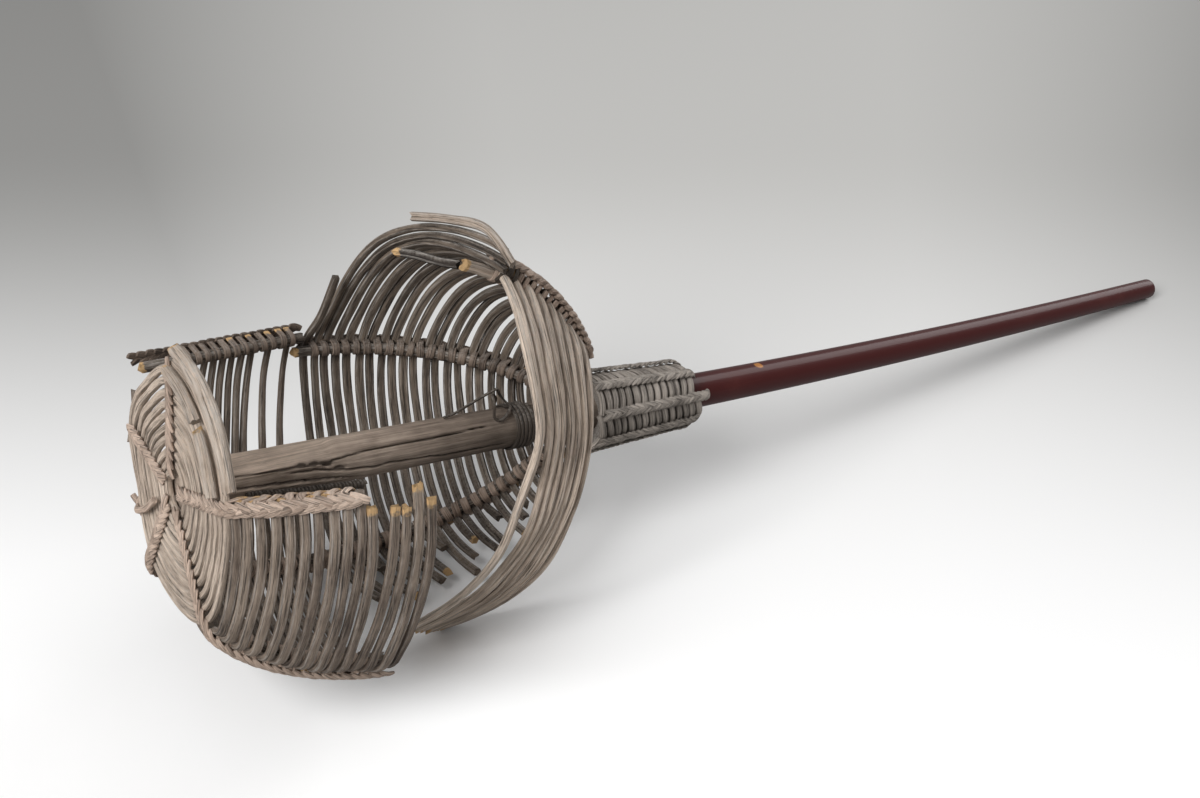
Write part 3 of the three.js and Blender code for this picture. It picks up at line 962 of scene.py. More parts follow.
class RattlePlaitSettings(bpy.types.PropertyGroup):
    """Sizes and colours of the plaited strips and of the bast."""

    reach: length_property("Plait reach", "From the middle of a plait to its edge", 0.0027)
    pitch: length_property("Plait pitch", "From strip to strip along the wall", 0.0043)
    end_reach: length_property("Plait reach on the flat end", "From the middle to the edge there", 0.0024)
    end_pitch: length_property("Plait pitch on the flat end", "From strip to strip there", 0.0042)
    ridge_reach: length_property("Collar ridge reach", "From the middle of a ridge to its edge", 0.0021)
    ridge_pitch: length_property("Collar ridge pitch", "From strip to strip on a collar ridge", 0.0031)
    rungs: IntProperty(name="Collar rungs", description="Strips along each side of the collar",
                       default=14, min=2, max=40)
    worn_pale: colour_property("Plaited cane", "Worn strips", (0.81, 0.625, 0.50))
    worn_dark: colour_property("Plaited cane, dark", "Grain of the worn strips", (0.255, 0.178, 0.134))
    stained_pale: colour_property("Stained plait", "Strips inside and behind", (0.32, 0.24, 0.185))
    stained_dark: colour_property("Stained plait, dark", "Grain of those strips", (0.085, 0.06, 0.045))
    collar_pale: colour_property("Collar", "Dusty strips of the collar", (0.58, 0.51, 0.445))
    collar_dark: colour_property("Collar, dark", "Stained strips of the collar", (0.13, 0.11, 0.093))
    bast_pale: colour_property("Bast", "Dark fibre", (0.10, 0.075, 0.055))
    bast_dark: colour_property("Bast, dark", "Stained fibre", (0.035, 0.026, 0.02))


class RattleStickSettings(bpy.types.PropertyGroup):
    """Relief and colours of the stick."""

    crack_depth: length_property("Crack depth", "Depth of the cracks in the grip", 0.0018)
    split_depth: length_property("Split depth", "Thickness of the wood split off below the crack", 0.0012)
    lacquer: colour_property("Lacquer", "Dark lacquer", (0.058, 0.0085, 0.008))
    worn: colour_property("Worn lacquer", "Lacquer where it is rubbed", (0.12, 0.03, 0.024))
    wood: colour_property("Raw wood", "Grip inside the cage", (0.74, 0.60, 0.49))
    wood_dark: colour_property("Raw wood, dark", "Grain of the grip", (0.15, 0.112, 0.087))
    chip: colour_property("Chip", "Fresh wood in the chip", (0.42, 0.17, 0.04))


class RattleStageSettings(bpy.types.PropertyGroup):
    """Floor, lights and camera."""

    # The near and far floor colours paint the fall-off of the light across an even floor
    floor_near: colour_property("Near floor", "Floor close to the camera", (0.97, 0.97, 0.97))
    floor_far: colour_property("Far floor", "Floor behind the rattle", (0.54, 0.535, 0.52))
    floor_bounce: colour_property("Floor bounce", "Floor as the light sees it", (0.4, 0.4, 0.4))
    key_power: power_property("Key light", "Power of the large light", 87.0)
    side_power: power_property("Side light", "Power of the weak light from the right", 34.0)
    fill: FloatProperty(name="Fill light", description="Strength of the light all round",
                        default=0.33, min=0.0)
    azimuth: angle_property("Azimuth", "Direction that the camera looks from", -34.0)
    elevation: angle_property("Elevation", "Height of the camera above the horizon", 33.13)
    distance: length_property("Distance", "From the camera to the point that it looks at", 0.7601)
    target: FloatVectorProperty(name="Target", description="Point that the camera looks at", size=3,
                                default=(-0.0950, 0.0083, 0.0677), unit="LENGTH", subtype="XYZ")
    lens: FloatProperty(name="Focal length", description="Focal length of the camera", default=45.0, min=1.0,
                        unit="CAMERA")


# Shared finishing: each cane material, with the settings and the colours that it takes
CANE_LOOKS = {
    "outer_cane_look": ("rattle_cane", "outer"),
    # The inner cane material is darker partly as painted shade for the inside of the bowl
    "inner_cane_painted_shade_look": ("rattle_cane", "inner"),
    "plait_look": ("rattle_plait", "worn"),
    "dark_plait_look": ("rattle_plait", "stained"),
    "collar_look": ("rattle_plait", "collar"),
    "bast_look": ("rattle_plait", "bast"),
}


def cane_look(scene, name):
    """The named cane material, built when it is first asked for."""
    found = bpy.data.materials.get(name)
    if found is not None:
        return found
    group, finish = CANE_LOOKS[name]
    pale, dark = (getattr(getattr(scene, group), f"{finish}_{shade}") for shade in ("pale", "dark"))
    return cane_material(name, scene.rattle_cane, pale, dark)


def finish_piece(name, mesh, material, slot, *nodes):
    """Lays a finished mesh on the ground as an object that stands for the given nodes of the part."""
    bmesh.ops.recalc_face_normals(mesh, faces=mesh.faces)
    bmesh.ops.transform(mesh, matrix=LYING, verts=mesh.verts)
    mesh.normal_update()
    upward = mesh.verts.layers.float["upward"]
    for vert in mesh.verts:
        vert[upward] = vert.normal.z
    sections = mesh.verts.layers.float_vector
    sections.remove(sections["section"])
    data = bpy.data.meshes.new(name)
    mesh.to_mesh(data)
    mesh.free()
    data.polygons.foreach_set("use_smooth", [True] * len(data.polygons))
    data.set_sharp_from_angle(angle=math.radians(SHARP_ANGLE))
    data.materials.append(material)
    piece = bpy.data.objects.new(name, data)
    bpy.context.collection.objects.link(piece)
    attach(piece, "root")
    if nodes:
        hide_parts(*nodes)
    return piece


def add_cane(name, cane, points, outward, material, slot, *nodes):
    """A piece that is one swept cane."""
    mesh = new_mesh()
    sweep(mesh, cane, points, outward)
    finish_piece(name, mesh, material, slot, *nodes)


def numbered(name, index):
    return f"{name}_{index + 1:02d}"


def fully_bleached(length):
    return 1.0


def rod_section(scene, index, kind):
    """Section of one rod, no two of which are alike."""
    cane = scene.rattle_cane
    rng = random.Random(kind * 1000 + index)
    width = cane.rod_width / MM / 2 * rng.uniform(*ROD_WIDTHS)
    height = cane.rod_thickness / MM / 2 * rng.uniform(*ROD_THICKNESSES)
    return Cane(width, height, squareness=0.85, tone=rng.uniform(-1, 1), seed=kind * 100 + index)


def stray_path(scene, points, seed, relax=0, step=ROD_STEP):
    path = relaxed(smooth_path(points, step), relax)
    outward = off_wall(path)
    return wandering(path, outward, scene.rattle_cane.straying / MM, seed), outward


# Operators
class RATTLE_OT_stick(bpy.types.Operator):
    """Build the lacquered stick with its raw, cracked grip"""

    bl_idname = "rattle.stick"
    bl_label = "Stick"

    # Places along the stick and angles of the cracks, and of the hole that two of them meet in
    CRACKS = (
        ((4, 306), (22, 307), (40, 303), (56, 300), (66, 302), (81, 310), (96, 312), (118, 310), (150, 316)),
        ((44, 287), (58, 286), (66, 276), (71, 270), (85, 265), (102, 264), (126, 254), (160, 250)),
        ((4, 282), (22, 276), (40, 268), (66, 252), (88, 226)),
    )
    CRACK_WIDTHS = (0.7, 0.9, 0.7)
    CRACK_WOBBLE = 4
    OPENING_REACH = 14
    OPENING_LEAST = 0.25
    CLOSING_REACH = 30
    CLOSING_LEAST = 0.1
    HOLE = ((52, 304), (58, 302), (64, 295), (70, 279))
    HOLE_RADIUS = 1.9
    HOLE_SLENDERNESS = 0.5
    HOLE_STEEPNESS = 1.6
    SPLIT_END = 84.0
    SPLIT_SLOPE = 8
    SPLIT_FADE = 20
    WORN_END = 70.0
    WORN_STEP = 5
    WORN_DEPTH = 4.6
    WORN_SHARE = 0.3
    WORN_ANGLE = 350.0
    FURROW_DEPTH = 0.45
    FURROW_WIDTH = 1.6
    FURROW_LENGTH = 60

    # Places along the stick: where the raw wood ends, the lacquer is full, its chip is and the wood darkens
    RAW_END = COLLAR_PLANE + 12
    LACQUER_START = COLLAR_PLANE + 20
    CHIP_PLACE = 317.0
    CHIP_ANGLE = 355.0
    STAINED = (45.0, 150.0)

    # Rings of the mesh
    SIDES = 96
    GRIP_STEP = 1.7
    GRIP_END = COLLAR_PLANE + 14
    SHAFT_GAP = 3
    SHAFT_STEPS = 60
    TIP_STEPS = 6

    def radius(self, x):
        """Radius of the stick, with its tip rounded."""
        past = clamp((x - TIP_PLANE + TIP_ROUNDING) / TIP_ROUNDING)
        return stick_radius(x) - TIP_ROUNDING * (1 - math.sqrt(1 - past ** 2))

    def crack_angle(self, crack, x):
        """Angle of a crack at a place along the stick, or None past its ends."""
        for (x0, a0), (x1, a1) in zip(crack, crack[1:]):
            if x0 <= x <= x1:
                return lerp(a0, a1, (x - x0) / (x1 - x0)) + self.CRACK_WOBBLE * wobble(x / 9, x0, 0.0)
        return None

    def worn_depth(self, x):
        """How much is worn off the top of the grip, most at the butt and nothing past a step."""
        step = clamp((self.WORN_END - x) / self.WORN_STEP)
        return lerp(self.WORN_DEPTH, self.WORN_DEPTH * self.WORN_SHARE, x / self.WORN_END) * step

    def openness(self, x, angle):
        """0 on sound wood, 1 in the middle of a crack or of the hole."""
        around = math.tau * stick_radius(x) / 360
        most = 0.0
        for crack, width in zip(self.CRACKS, self.CRACK_WIDTHS):
            middle = self.crack_angle(crack, x)
            if middle is None:
                continue
            away = abs(angle_between(angle, middle)) * around
            opening = (x - crack[0][0]) / self.OPENING_REACH + self.OPENING_LEAST
            closing = (crack[-1][0] - x) / self.CLOSING_REACH + self.CLOSING_LEAST
            most = max(most, 1 - away / (width * min(1.0, opening, closing)))
        for place, middle in self.HOLE:
            away = math.hypot((x - place) * self.HOLE_SLENDERNESS, angle_between(angle, middle) * around)
            ragged = self.HOLE_RADIUS * (0.8 + 0.5 * wobble(x / 3, angle / 14, 5.0))
            steep = self.HOLE_STEEPNESS
            most = max(most, min(1.0, steep - steep * away / ragged))
        return most

    def split(self, depth, x, angle):
        """How deep the wood between the first and the last crack is split off."""
        first = self.crack_angle(self.CRACKS[0], x)
        last = self.crack_angle(self.CRACKS[2], x)
        if first is None or last is None or not last < angle < first:
            return 0.0
        turn = (first - angle) / self.SPLIT_SLOPE
        return depth * min(1.0, turn) * min(1.0, (self.SPLIT_END - x) / self.SPLIT_FADE)

    def relief(self, stick, x, turn):
        """Share of the stick's radius that is left in the worn and cracked grip."""
        if x > self.RAW_END:
            return 1.0
        radius = stick_radius(x)
        angle = math.degrees(-turn) % 360
        depth = stick.crack_depth / MM * self.openness(x, angle)
        depth += self.split(stick.split_depth / MM, x, angle)
        across = Vector((math.cos(turn), math.sin(turn), 0.0)) * (radius / self.FURROW_WIDTH)
        depth += self.FURROW_DEPTH * max(0.0, wobble(across.x, across.y, x / self.FURROW_LENGTH))
        height = radius - self.worn_depth(x)
        facing = math.cos(math.radians(angle - self.WORN_ANGLE))
        return min(1.0, height / radius / max(facing, 0.1)) - depth / radius

    def rawness(self, x, turn):
        if x > self.RAW_END:
            return clamp((self.LACQUER_START - x) / (self.LACQUER_START - self.RAW_END))
        return 1.0 + self.openness(x, math.degrees(-turn) % 360)

    def ring_places(self):
        count = round((self.GRIP_END - BUTT_PLANE) / self.GRIP_STEP)
        places = [BUTT_PLANE + i * self.GRIP_STEP for i in range(count)]
        shaft = (places[-1] + self.SHAFT_GAP, TIP_PLANE - TIP_ROUNDING)
        places += [lerp(*shaft, i / self.SHAFT_STEPS) for i in range(self.SHAFT_STEPS)]
        turns = [math.radians(i * 90 / self.TIP_STEPS) for i in range(self.TIP_STEPS + 1)]
        return places + [TIP_PLANE - TIP_ROUNDING * (1 - math.sin(turn)) for turn in turns]

    def execute(self, context):
        stick = context.scene.rattle_stick
        half = BUTT_DIAMETER / 2

        def relief(length, turn):
            x = BUTT_PLANE + length
            return self.relief(stick, x, turn) * self.radius(x) / half

        def rawness(length, turn):
            return self.rawness(BUTT_PLANE + length, turn)

        section = Cane(half, half, self.SIDES, 1.0, seed=5, uneven=0.0, relief=relief, rawness=rawness)
        points = [Vector((x, 0, stick_rise(x))) for x in self.ring_places()]
        outward = [Vector((0, 0, 1))] * len(points)
        chip = LYING @ (polar(self.CHIP_PLACE, stick_radius(self.CHIP_PLACE), self.CHIP_ANGLE)
                        + Vector((0, 0, stick_rise(self.CHIP_PLACE))))
        stained = [(LYING @ Vector((x, 0, 0))).x for x in self.STAINED]
        material = stick_material("stick_look", stick, chip, stained)
        add_cane("stick_turned", section, points, outward, material, "lacquered_wood", "stick")
        return {"FINISHED"}


class RATTLE_OT_flat_end(bpy.types.Operator):
    """Build the coiled flat end, the thick rods on its edge and its knot"""

    bl_idname = "rattle.flat_end"
    bl_label = "Flat end"

    COIL_STEPS = 64
    COIL_NARROWING = 0.87
    COIL_STRAYING = 0.7
    BORDER_STEPS = 24
    BORDER_FLATNESS = 0.82
    INNER_BORDER = ((298, 325), (329, 362))
    INNER_THICKNESS = 0.9
    INNER_PLANE = -4.6
    INNER_LIFT = -6.8
    EDGE_STUB = ((5, 66, 79), (4.5, 63, 87))
    EDGE_STUB_FOOT = 98

    # The knot, and its tails as places across it, out from the flat end's middle and off the flat end
    KNOT_STEPS = 60
    DRAWN_IN = ((0, 0, 3), (2, -7, 6), (3, -20, 6), (1, -34, 6))
    LOOSE_TAIL = ((0, 1, 0), (-3, 4, 2), (-6, 5, 3))

    def execute(self, context):
        scene = context.scene
        outer = cane_look(scene, "outer_cane_look")
        points = [coil_point(i / self.COIL_STEPS) for i in range(COIL_TURNS * self.COIL_STEPS + 1)]
        path = relaxed(smooth_path(points, 3.2), 1)
        outward = [OFF_END] * len(path)
        section = rod_section(scene, 0, END_ROD)
        section.bleaching = fully_bleached
        section.half_width *= self.COIL_NARROWING
        section.uneven = 0.25
        strayed = wandering(path, outward, scene.rattle_cane.straying / MM * self.COIL_STRAYING, 61.0)
        add_cane("coil_cane", section, strayed, outward, outer, "outer_cane", "end_coil")

        seats = self.border_seats(FRONT_ANGLE + BORDER_OVERHANG, TOP_ANGLE + 360, BORDER_DIAMETER)
        self.add_border("border_cane", outer, BORDER_DIAMETER, seats, 71, "border_rod")
        diameter = BORDER_DIAMETER * self.INNER_THICKNESS
        for index, (start, end) in enumerate(self.INNER_BORDER):
            seats = self.border_seats(start, end, diameter + 2 * self.INNER_LIFT, self.INNER_PLANE)
            self.add_border(numbered("border_cane_inner", index), outer, diameter, seats, 73 + index)

        foot = coil_seat(self.EDGE_STUB_FOOT, ROD_RADIUS)
        path = smooth_path([*(polar(*place) for place in self.EDGE_STUB), foot], 2.0)
        section = rod_section(scene, 1, END_ROD)
        section.splinter = (1.0, 1.4)
        add_cane("edge_stub_cane", section, path, [OFF_END] * len(path), outer, "outer_cane")

        mesh = new_mesh()
        self.add_knot(mesh)
        finish_piece("knot_strips", mesh, cane_look(scene, "plait_look"), "plaited_cane", "end_knot")
        return {"FINISHED"}

    def border_seats(self, start, end, diameter, plane=0.0):
        angles = [lerp(start, end, i / self.BORDER_STEPS) for i in range(self.BORDER_STEPS + 1)]
        return [coil_seat(angle, diameter, plane) for angle in angles]

    def add_border(self, name, material, diameter, seats, seed, *nodes):
        """A thick rod along the edge, with its flat side turned half to the edge and half to the end."""
        half = diameter / 2
        section = Cane(half, half * self.BORDER_FLATNESS, 14, tone=-0.5, seed=seed, raw=(0.2, 0.6),
                       splinter=(0.8, 1.8), taper=(0.85, 0.8), taper_reach=30.0, bleaching=fully_bleached)
        path = smooth_path(seats, 2.4)
        radial = [polar(0, 1, math.degrees(math.atan2(point.y, point.z))) for point in path]
        outward = [(out + OFF_END * 0.6).normalized() for out in radial]
        add_cane(name, section, path, outward, material, "outer_cane", *nodes)

    def add_knot(self, mesh):
        """A tied strip on the edge, with one end drawn in over the coil and a short loose end."""
        centre = coil_seat(KNOT_ANGLE, KNOT_DIAMETER) + polar(2, -3, KNOT_ANGLE)
        radial = polar(0, 1, KNOT_ANGLE)
        side = polar(0, 1, KNOT_ANGLE + 90)
        size = KNOT_DIAMETER / 5.5
        points = []
        for i in range(self.KNOT_STEPS + 1):
            turn = math.tau * i / self.KNOT_STEPS
            across = (math.sin(turn) + 2 * math.sin(2 * turn)) * size
            up = (math.cos(turn) - 2 * math.cos(2 * turn)) * size
            points.append(centre + side * across + radial * up + OFF_END * (math.sin(3 * turn) * size * 1.2))
        strip = Cane(1.6, 1.2, squareness=0.85, seed=81)
        sweep(mesh, strip, points, [(point - centre).normalized() for point in points])
        for tail in (self.DRAWN_IN, self.LOOSE_TAIL):
            path = smooth_path([centre + side * a + radial * b + OFF_END * c for a, b, c in tail], 1.5)
            strip.seed += 1
            sweep(mesh, strip, path, [OFF_END] * len(path))


class RATTLE_OT_ribs(bpy.types.Operator):
    """Build the ribs inside the rods"""

    bl_idname = "rattle.ribs"
    bl_label = "Ribs"

    STEP = 3
    STUB_SWELLING = 1.2
    STUB_REACH = 30.0
    BLEACHED_END = TOP_RIB_OVERHANG + 5

    def execute(self, context):
        material = cane_look(context.scene, "inner_cane_painted_shade_look")
        lines = {
            "top_rib": (TOP_ANGLE, wall_pairs(TOP_PLAIT_START - TOP_RIB_OVERHANG, RIB_END)),
            "back_rib": (BACK_ANGLE, wall_pairs(BACK_PLAIT_START - BACK_RIB_OVERHANG, RIB_END)),
            "back_rib_sprung": (SPRUNG_ANGLE, sprung_pairs()),
            "under_rib": (UNDER_ANGLE, wall_pairs(RIB_BEGIN, RIB_END)),
            "low_rib": (LOW_ANGLE, wall_pairs(RIB_BEGIN, LOW_RIB_LENGTH)),
            "front_rib": (FRONT_ANGLE, wall_pairs(RIB_BEGIN, FRONT_RIB_LENGTH)),
        }
        half = RIB_DIAMETER / 2
        for index, (name, (angle, pairs)) in enumerate(lines.items()):
            line = Meridian(angle, pairs)
            steps = round(line.length / self.STEP)
            placed = [line.at(line.length * i / steps, RIB_LIFT) for i in range(steps + 1)]
            section = Cane(half, half, 12, 0.9, seed=200 + index, raw=(1.0, 0.0), raw_reach=3.0,
                           splinter=(1.2, 0.6))
            if name == "top_rib":
                section.taper = (self.STUB_SWELLING, 1.0)
                section.taper_reach = self.STUB_REACH
                section.bleaching = lambda length: clamp(self.BLEACHED_END - length)
            add_cane(f"{name}_cane", section, *zip(*placed), material, "inner_cane", name)
        return {"FINISHED"}


class RATTLE_OT_plaits(bpy.types.Operator):
    """Build the plaits outside the rods and their wraps round the ribs"""

    bl_idname = "rattle.plaits"
    bl_label = "Plaits"

    FRAYED = {"front_plait": 0.6, "back_plait_sprung": 0.4}
    LEAST_FRAYED = 0.08
    WIDENED = {"low_plait": 1.05, "top_plait": 1.5, "front_plait": 0.78}
    STAINED = ("back_plait", "back_plait_sprung")
    SPINES = {"front_plait": -0.25}
    PINCHES = {"low_plait": LOW_PINCH * 0.4}
    CORNER_REACH = 9
    GROWING = 6
    SEATING = ROD_RADIUS + 0.1

    # Tufts, as lifts off the line and places aside, and wraps
    TUFT = ((1.4, 1.4), (1.0, 2.7), (-0.6, 3.6), (-2.8, 3.6), (-5.0, 2.8))
    WRAP_MARGIN = 2
    WRAP_LIMIT = 6.0
    WRAP_SHARE = 0.78

    def execute(self, context):
        scene = context.scene
        cage = range(CAGE_ROD_COUNT)
        bowl = range(BOWL_ROD_COUNT)
        front = [front_rod_distance(i) for i in cage]
        back = sorted(bowl_rod_distance(i) for i in bowl)
        top = sorted(bowl_rod_distance(i, CROWDED_PITCH) for i in range(WRAPPED_ROD_COUNT))
        under = [under_rod_distance(i) for i in cage] + back
        sprung = [SPRUNG_ROD_INSET + i * SPRUNG_ROD_PITCH for i in cage]
        corner = end_pairs(END_RADIUS - CORNER_CUT)
        past_corner = wall_pairs(CORNER_CUT, CORNER_CUT + self.CORNER_REACH)
        turn = Meridian(0, corner + past_corner).length - self.CORNER_REACH - CORNER_CUT
        top_line = wall_pairs(TOP_PLAIT_START, PLAIT_END)
        back_line = wall_pairs(BACK_PLAIT_START, PLAIT_END)
        under_line = corner + wall_pairs(CORNER_CUT, PLAIT_END)
        low_line = corner + wall_pairs(CORNER_CUT, LOW_RIB_LENGTH)
        front_line = corner + wall_pairs(CORNER_CUT, FRONT_RIB_LENGTH)
        plaits = (
            ("top_plait", TOP_ANGLE, top_line, 0.0, TOP_PLAIT_START, top),
            ("back_plait", BACK_ANGLE, back_line, 0.0, BACK_PLAIT_START, back),
            ("back_plait_sprung", SPRUNG_ANGLE, sprung_pairs(), 0.0, 0.0, sprung),
            ("under_plait", UNDER_ANGLE, under_line, turn, -turn, under),
            ("low_plait", LOW_ANGLE, low_line, turn, -turn, front),
            ("front_plait", FRONT_ANGLE, front_line, turn, -turn, front),
            ("top_end_plait", TOP_ANGLE, end_pairs(END_RADIUS), END_RADIUS, 0.0, ()),
            ("back_end_plait", BACK_ANGLE, end_pairs(BACK_END_PLAIT_REACH), END_RADIUS, 0.0, ()),
        )
        for index, (name, angle, pairs, wall_start, zero, crossings) in enumerate(plaits):
            line = Meridian(angle, pairs)
            rods = [rod - zero for rod in crossings]
            frayed = self.FRAYED.get(name, self.LEAST_FRAYED)
            mesh = new_mesh()
            self.add_plait(mesh, scene.rattle_plait, line, wall_start, 300 + index * 100, name)
            self.add_wraps(mesh, line, rods, wall_start, 1400 + index * 100, frayed)
            if name == "front_plait":
                self.add_tufts(mesh, line, rods, wall_start)
            look = "dark_plait_look" if name in self.STAINED else "plait_look"
            finish_piece(f"{name}_strips", mesh, cane_look(scene, look), "plaited_cane", name)
        return {"FINISHED"}

    def add_plait(self, mesh, settings, line, wall_start, seed, name):
        """One plait, fine on the flat end and full where it binds the rods of the wall."""
        full_reach = settings.reach / MM * self.WIDENED.get(name, 1.0)
        pinch = self.PINCHES.get(name, 0.0)

        def full(distance):
            return clamp((distance - wall_start + self.GROWING) / self.GROWING)

        def pitch(distance):
            return lerp(settings.end_pitch / MM, settings.pitch / MM, full(distance))

        def reach(distance):
            return lerp(settings.end_reach / MM, full_reach, full(distance))

        def lift(distance):
            return self.SEATING - pinch * full(distance)

        strip = Cane(1.0, 1.0, seed=seed, uneven=0.2, taper=(0.8, 0.7), taper_reach=2.0)
        fishbone(mesh, line, strip, pitch, reach, lift, self.SPINES.get(name, 0.0))

    def add_tufts(self, mesh, line, crossings, wall_start):
        """Frayed strips that stand up between the upper edge of a plait and its rib."""
        for i, rod in enumerate(crossings):
            if rod < wall_start or rod > line.length:
                continue
            rng = random.Random(1700 + i)
            points = []
            for lift, aside in self.TUFT:
                loose = aside * rng.uniform(0.9, 1.15)
                points.append(line.at(rod + rng.uniform(-0.9, 0.9) - lift * 0.5, lift, loose)[0])
            strip = Cane(rng.uniform(1.4, 2.0), 0.7, squareness=0.7, tone=rng.uniform(-0.5, 1), seed=1800 + i)
            strip.raw = (0.0, rng.uniform(0.6, 1.2))
            strip.raw_reach = 8.0
            path = smooth_path(points, 1.0)
            sweep(mesh, strip, path, [line.side] * len(path))

    def add_wraps(self, mesh, line, crossings, wall_start, seed, frayed):
        """Blocks of strip round the rib, one between each two rods."""
        for i, (first, second) in enumerate(zip(crossings, crossings[1:])):
            middle = (first + second) / 2
            if middle < wall_start + self.WRAP_MARGIN or middle > line.length - self.WRAP_MARGIN:
                continue
            rng = random.Random(seed + i)
            width = min(self.WRAP_LIMIT, second - first) / 2 * self.WRAP_SHARE - rng.uniform(0.2, 0.5)
            strip = Cane(width, 0.5, squareness=0.5, tone=rng.uniform(-1, 1), seed=seed + i)
            strip.raw = (0.8, 0.8) if rng.random() < frayed else (0.0, 0.0)
            radius = RIB_DIAMETER / 2 + rng.uniform(0.3, 0.7)
            wrap(mesh, line, middle + rng.uniform(-0.3, 0.3), strip, radius, rng.uniform(-1.2, 1.2))


class RATTLE_OT_cage_rods(bpy.types.Operator):
    """Build the rods of the cage's front half"""

    bl_idname = "rattle.cage_rods"
    bl_label = "Front rods"

    THIN_END = 0.62
    THIN_REACH = 90.0
    LEANS = {9: -1.0, 10: -2.4, 11: 1.2, 12: 0.5}

    # The short last rod's ends, and the swelling beside the low plait: height, angle past it and spread
    SHORT_ENDS = (LOW_ANGLE - 7, FRONT_ANGLE - 3)
    SWELLING = (1.1, 9, 4.5)
    PINCH_SPREAD = 3.4

    def execute(self, context):
        scene = context.scene
        splinter = scene.rattle_cane.splinter / MM
        for index in range(CAGE_ROD_COUNT + 1):
            short = index == CAGE_ROD_COUNT
            free = index in FREE_ENDS or short
            lost = index in RODS_LOST_AT_BACK
            section = rod_section(scene, index, FRONT_ROD)
            section.raw = (0.6 if lost else 0.0, 1.0 if free else 0.0)
            section.splinter = (splinter if lost else 0.4, splinter if free else 0.3)
            section.widening = self.thinned
            stations = cage_rod_stations(index)
            stations[-1] = shifted(stations[-1], self.LEANS.get(index, 0.0))
            if short:
                stations = [turned(station, end) for station, end in zip(stations[2:], self.SHORT_ENDS)]
            path, outward = stray_path(scene, bent_points(stations), 11.0 + index)
            node = numbered("cage_rod", index)
            nodes = [] if short else [node]
            outer = cane_look(scene, "outer_cane_look")
            add_cane(f"{node}_cane", section, self.pinched(path), outward, outer, "outer_cane", *nodes)
        return {"FINISHED"}

    def thinned(self, length):
        """The rods are thinner towards the sprung rib."""
        return lerp(self.THIN_END, 1.0, min(1.0, length / self.THIN_REACH))

    def pinched(self, path):
        """The rods dip under the low plait and swell out beside it."""
        height, middle, spread = self.SWELLING
        bent = []
        for point, out in zip(path, off_stick(path)):
            past = math.degrees(math.atan2(point.y, point.z)) % 360 - LOW_ANGLE
            swelling = height * math.exp(-((past - middle) / spread) ** 2)
            bent.append(point + out * (swelling - LOW_PINCH * math.exp(-(past / self.PINCH_SPREAD) ** 2)))
        return bent


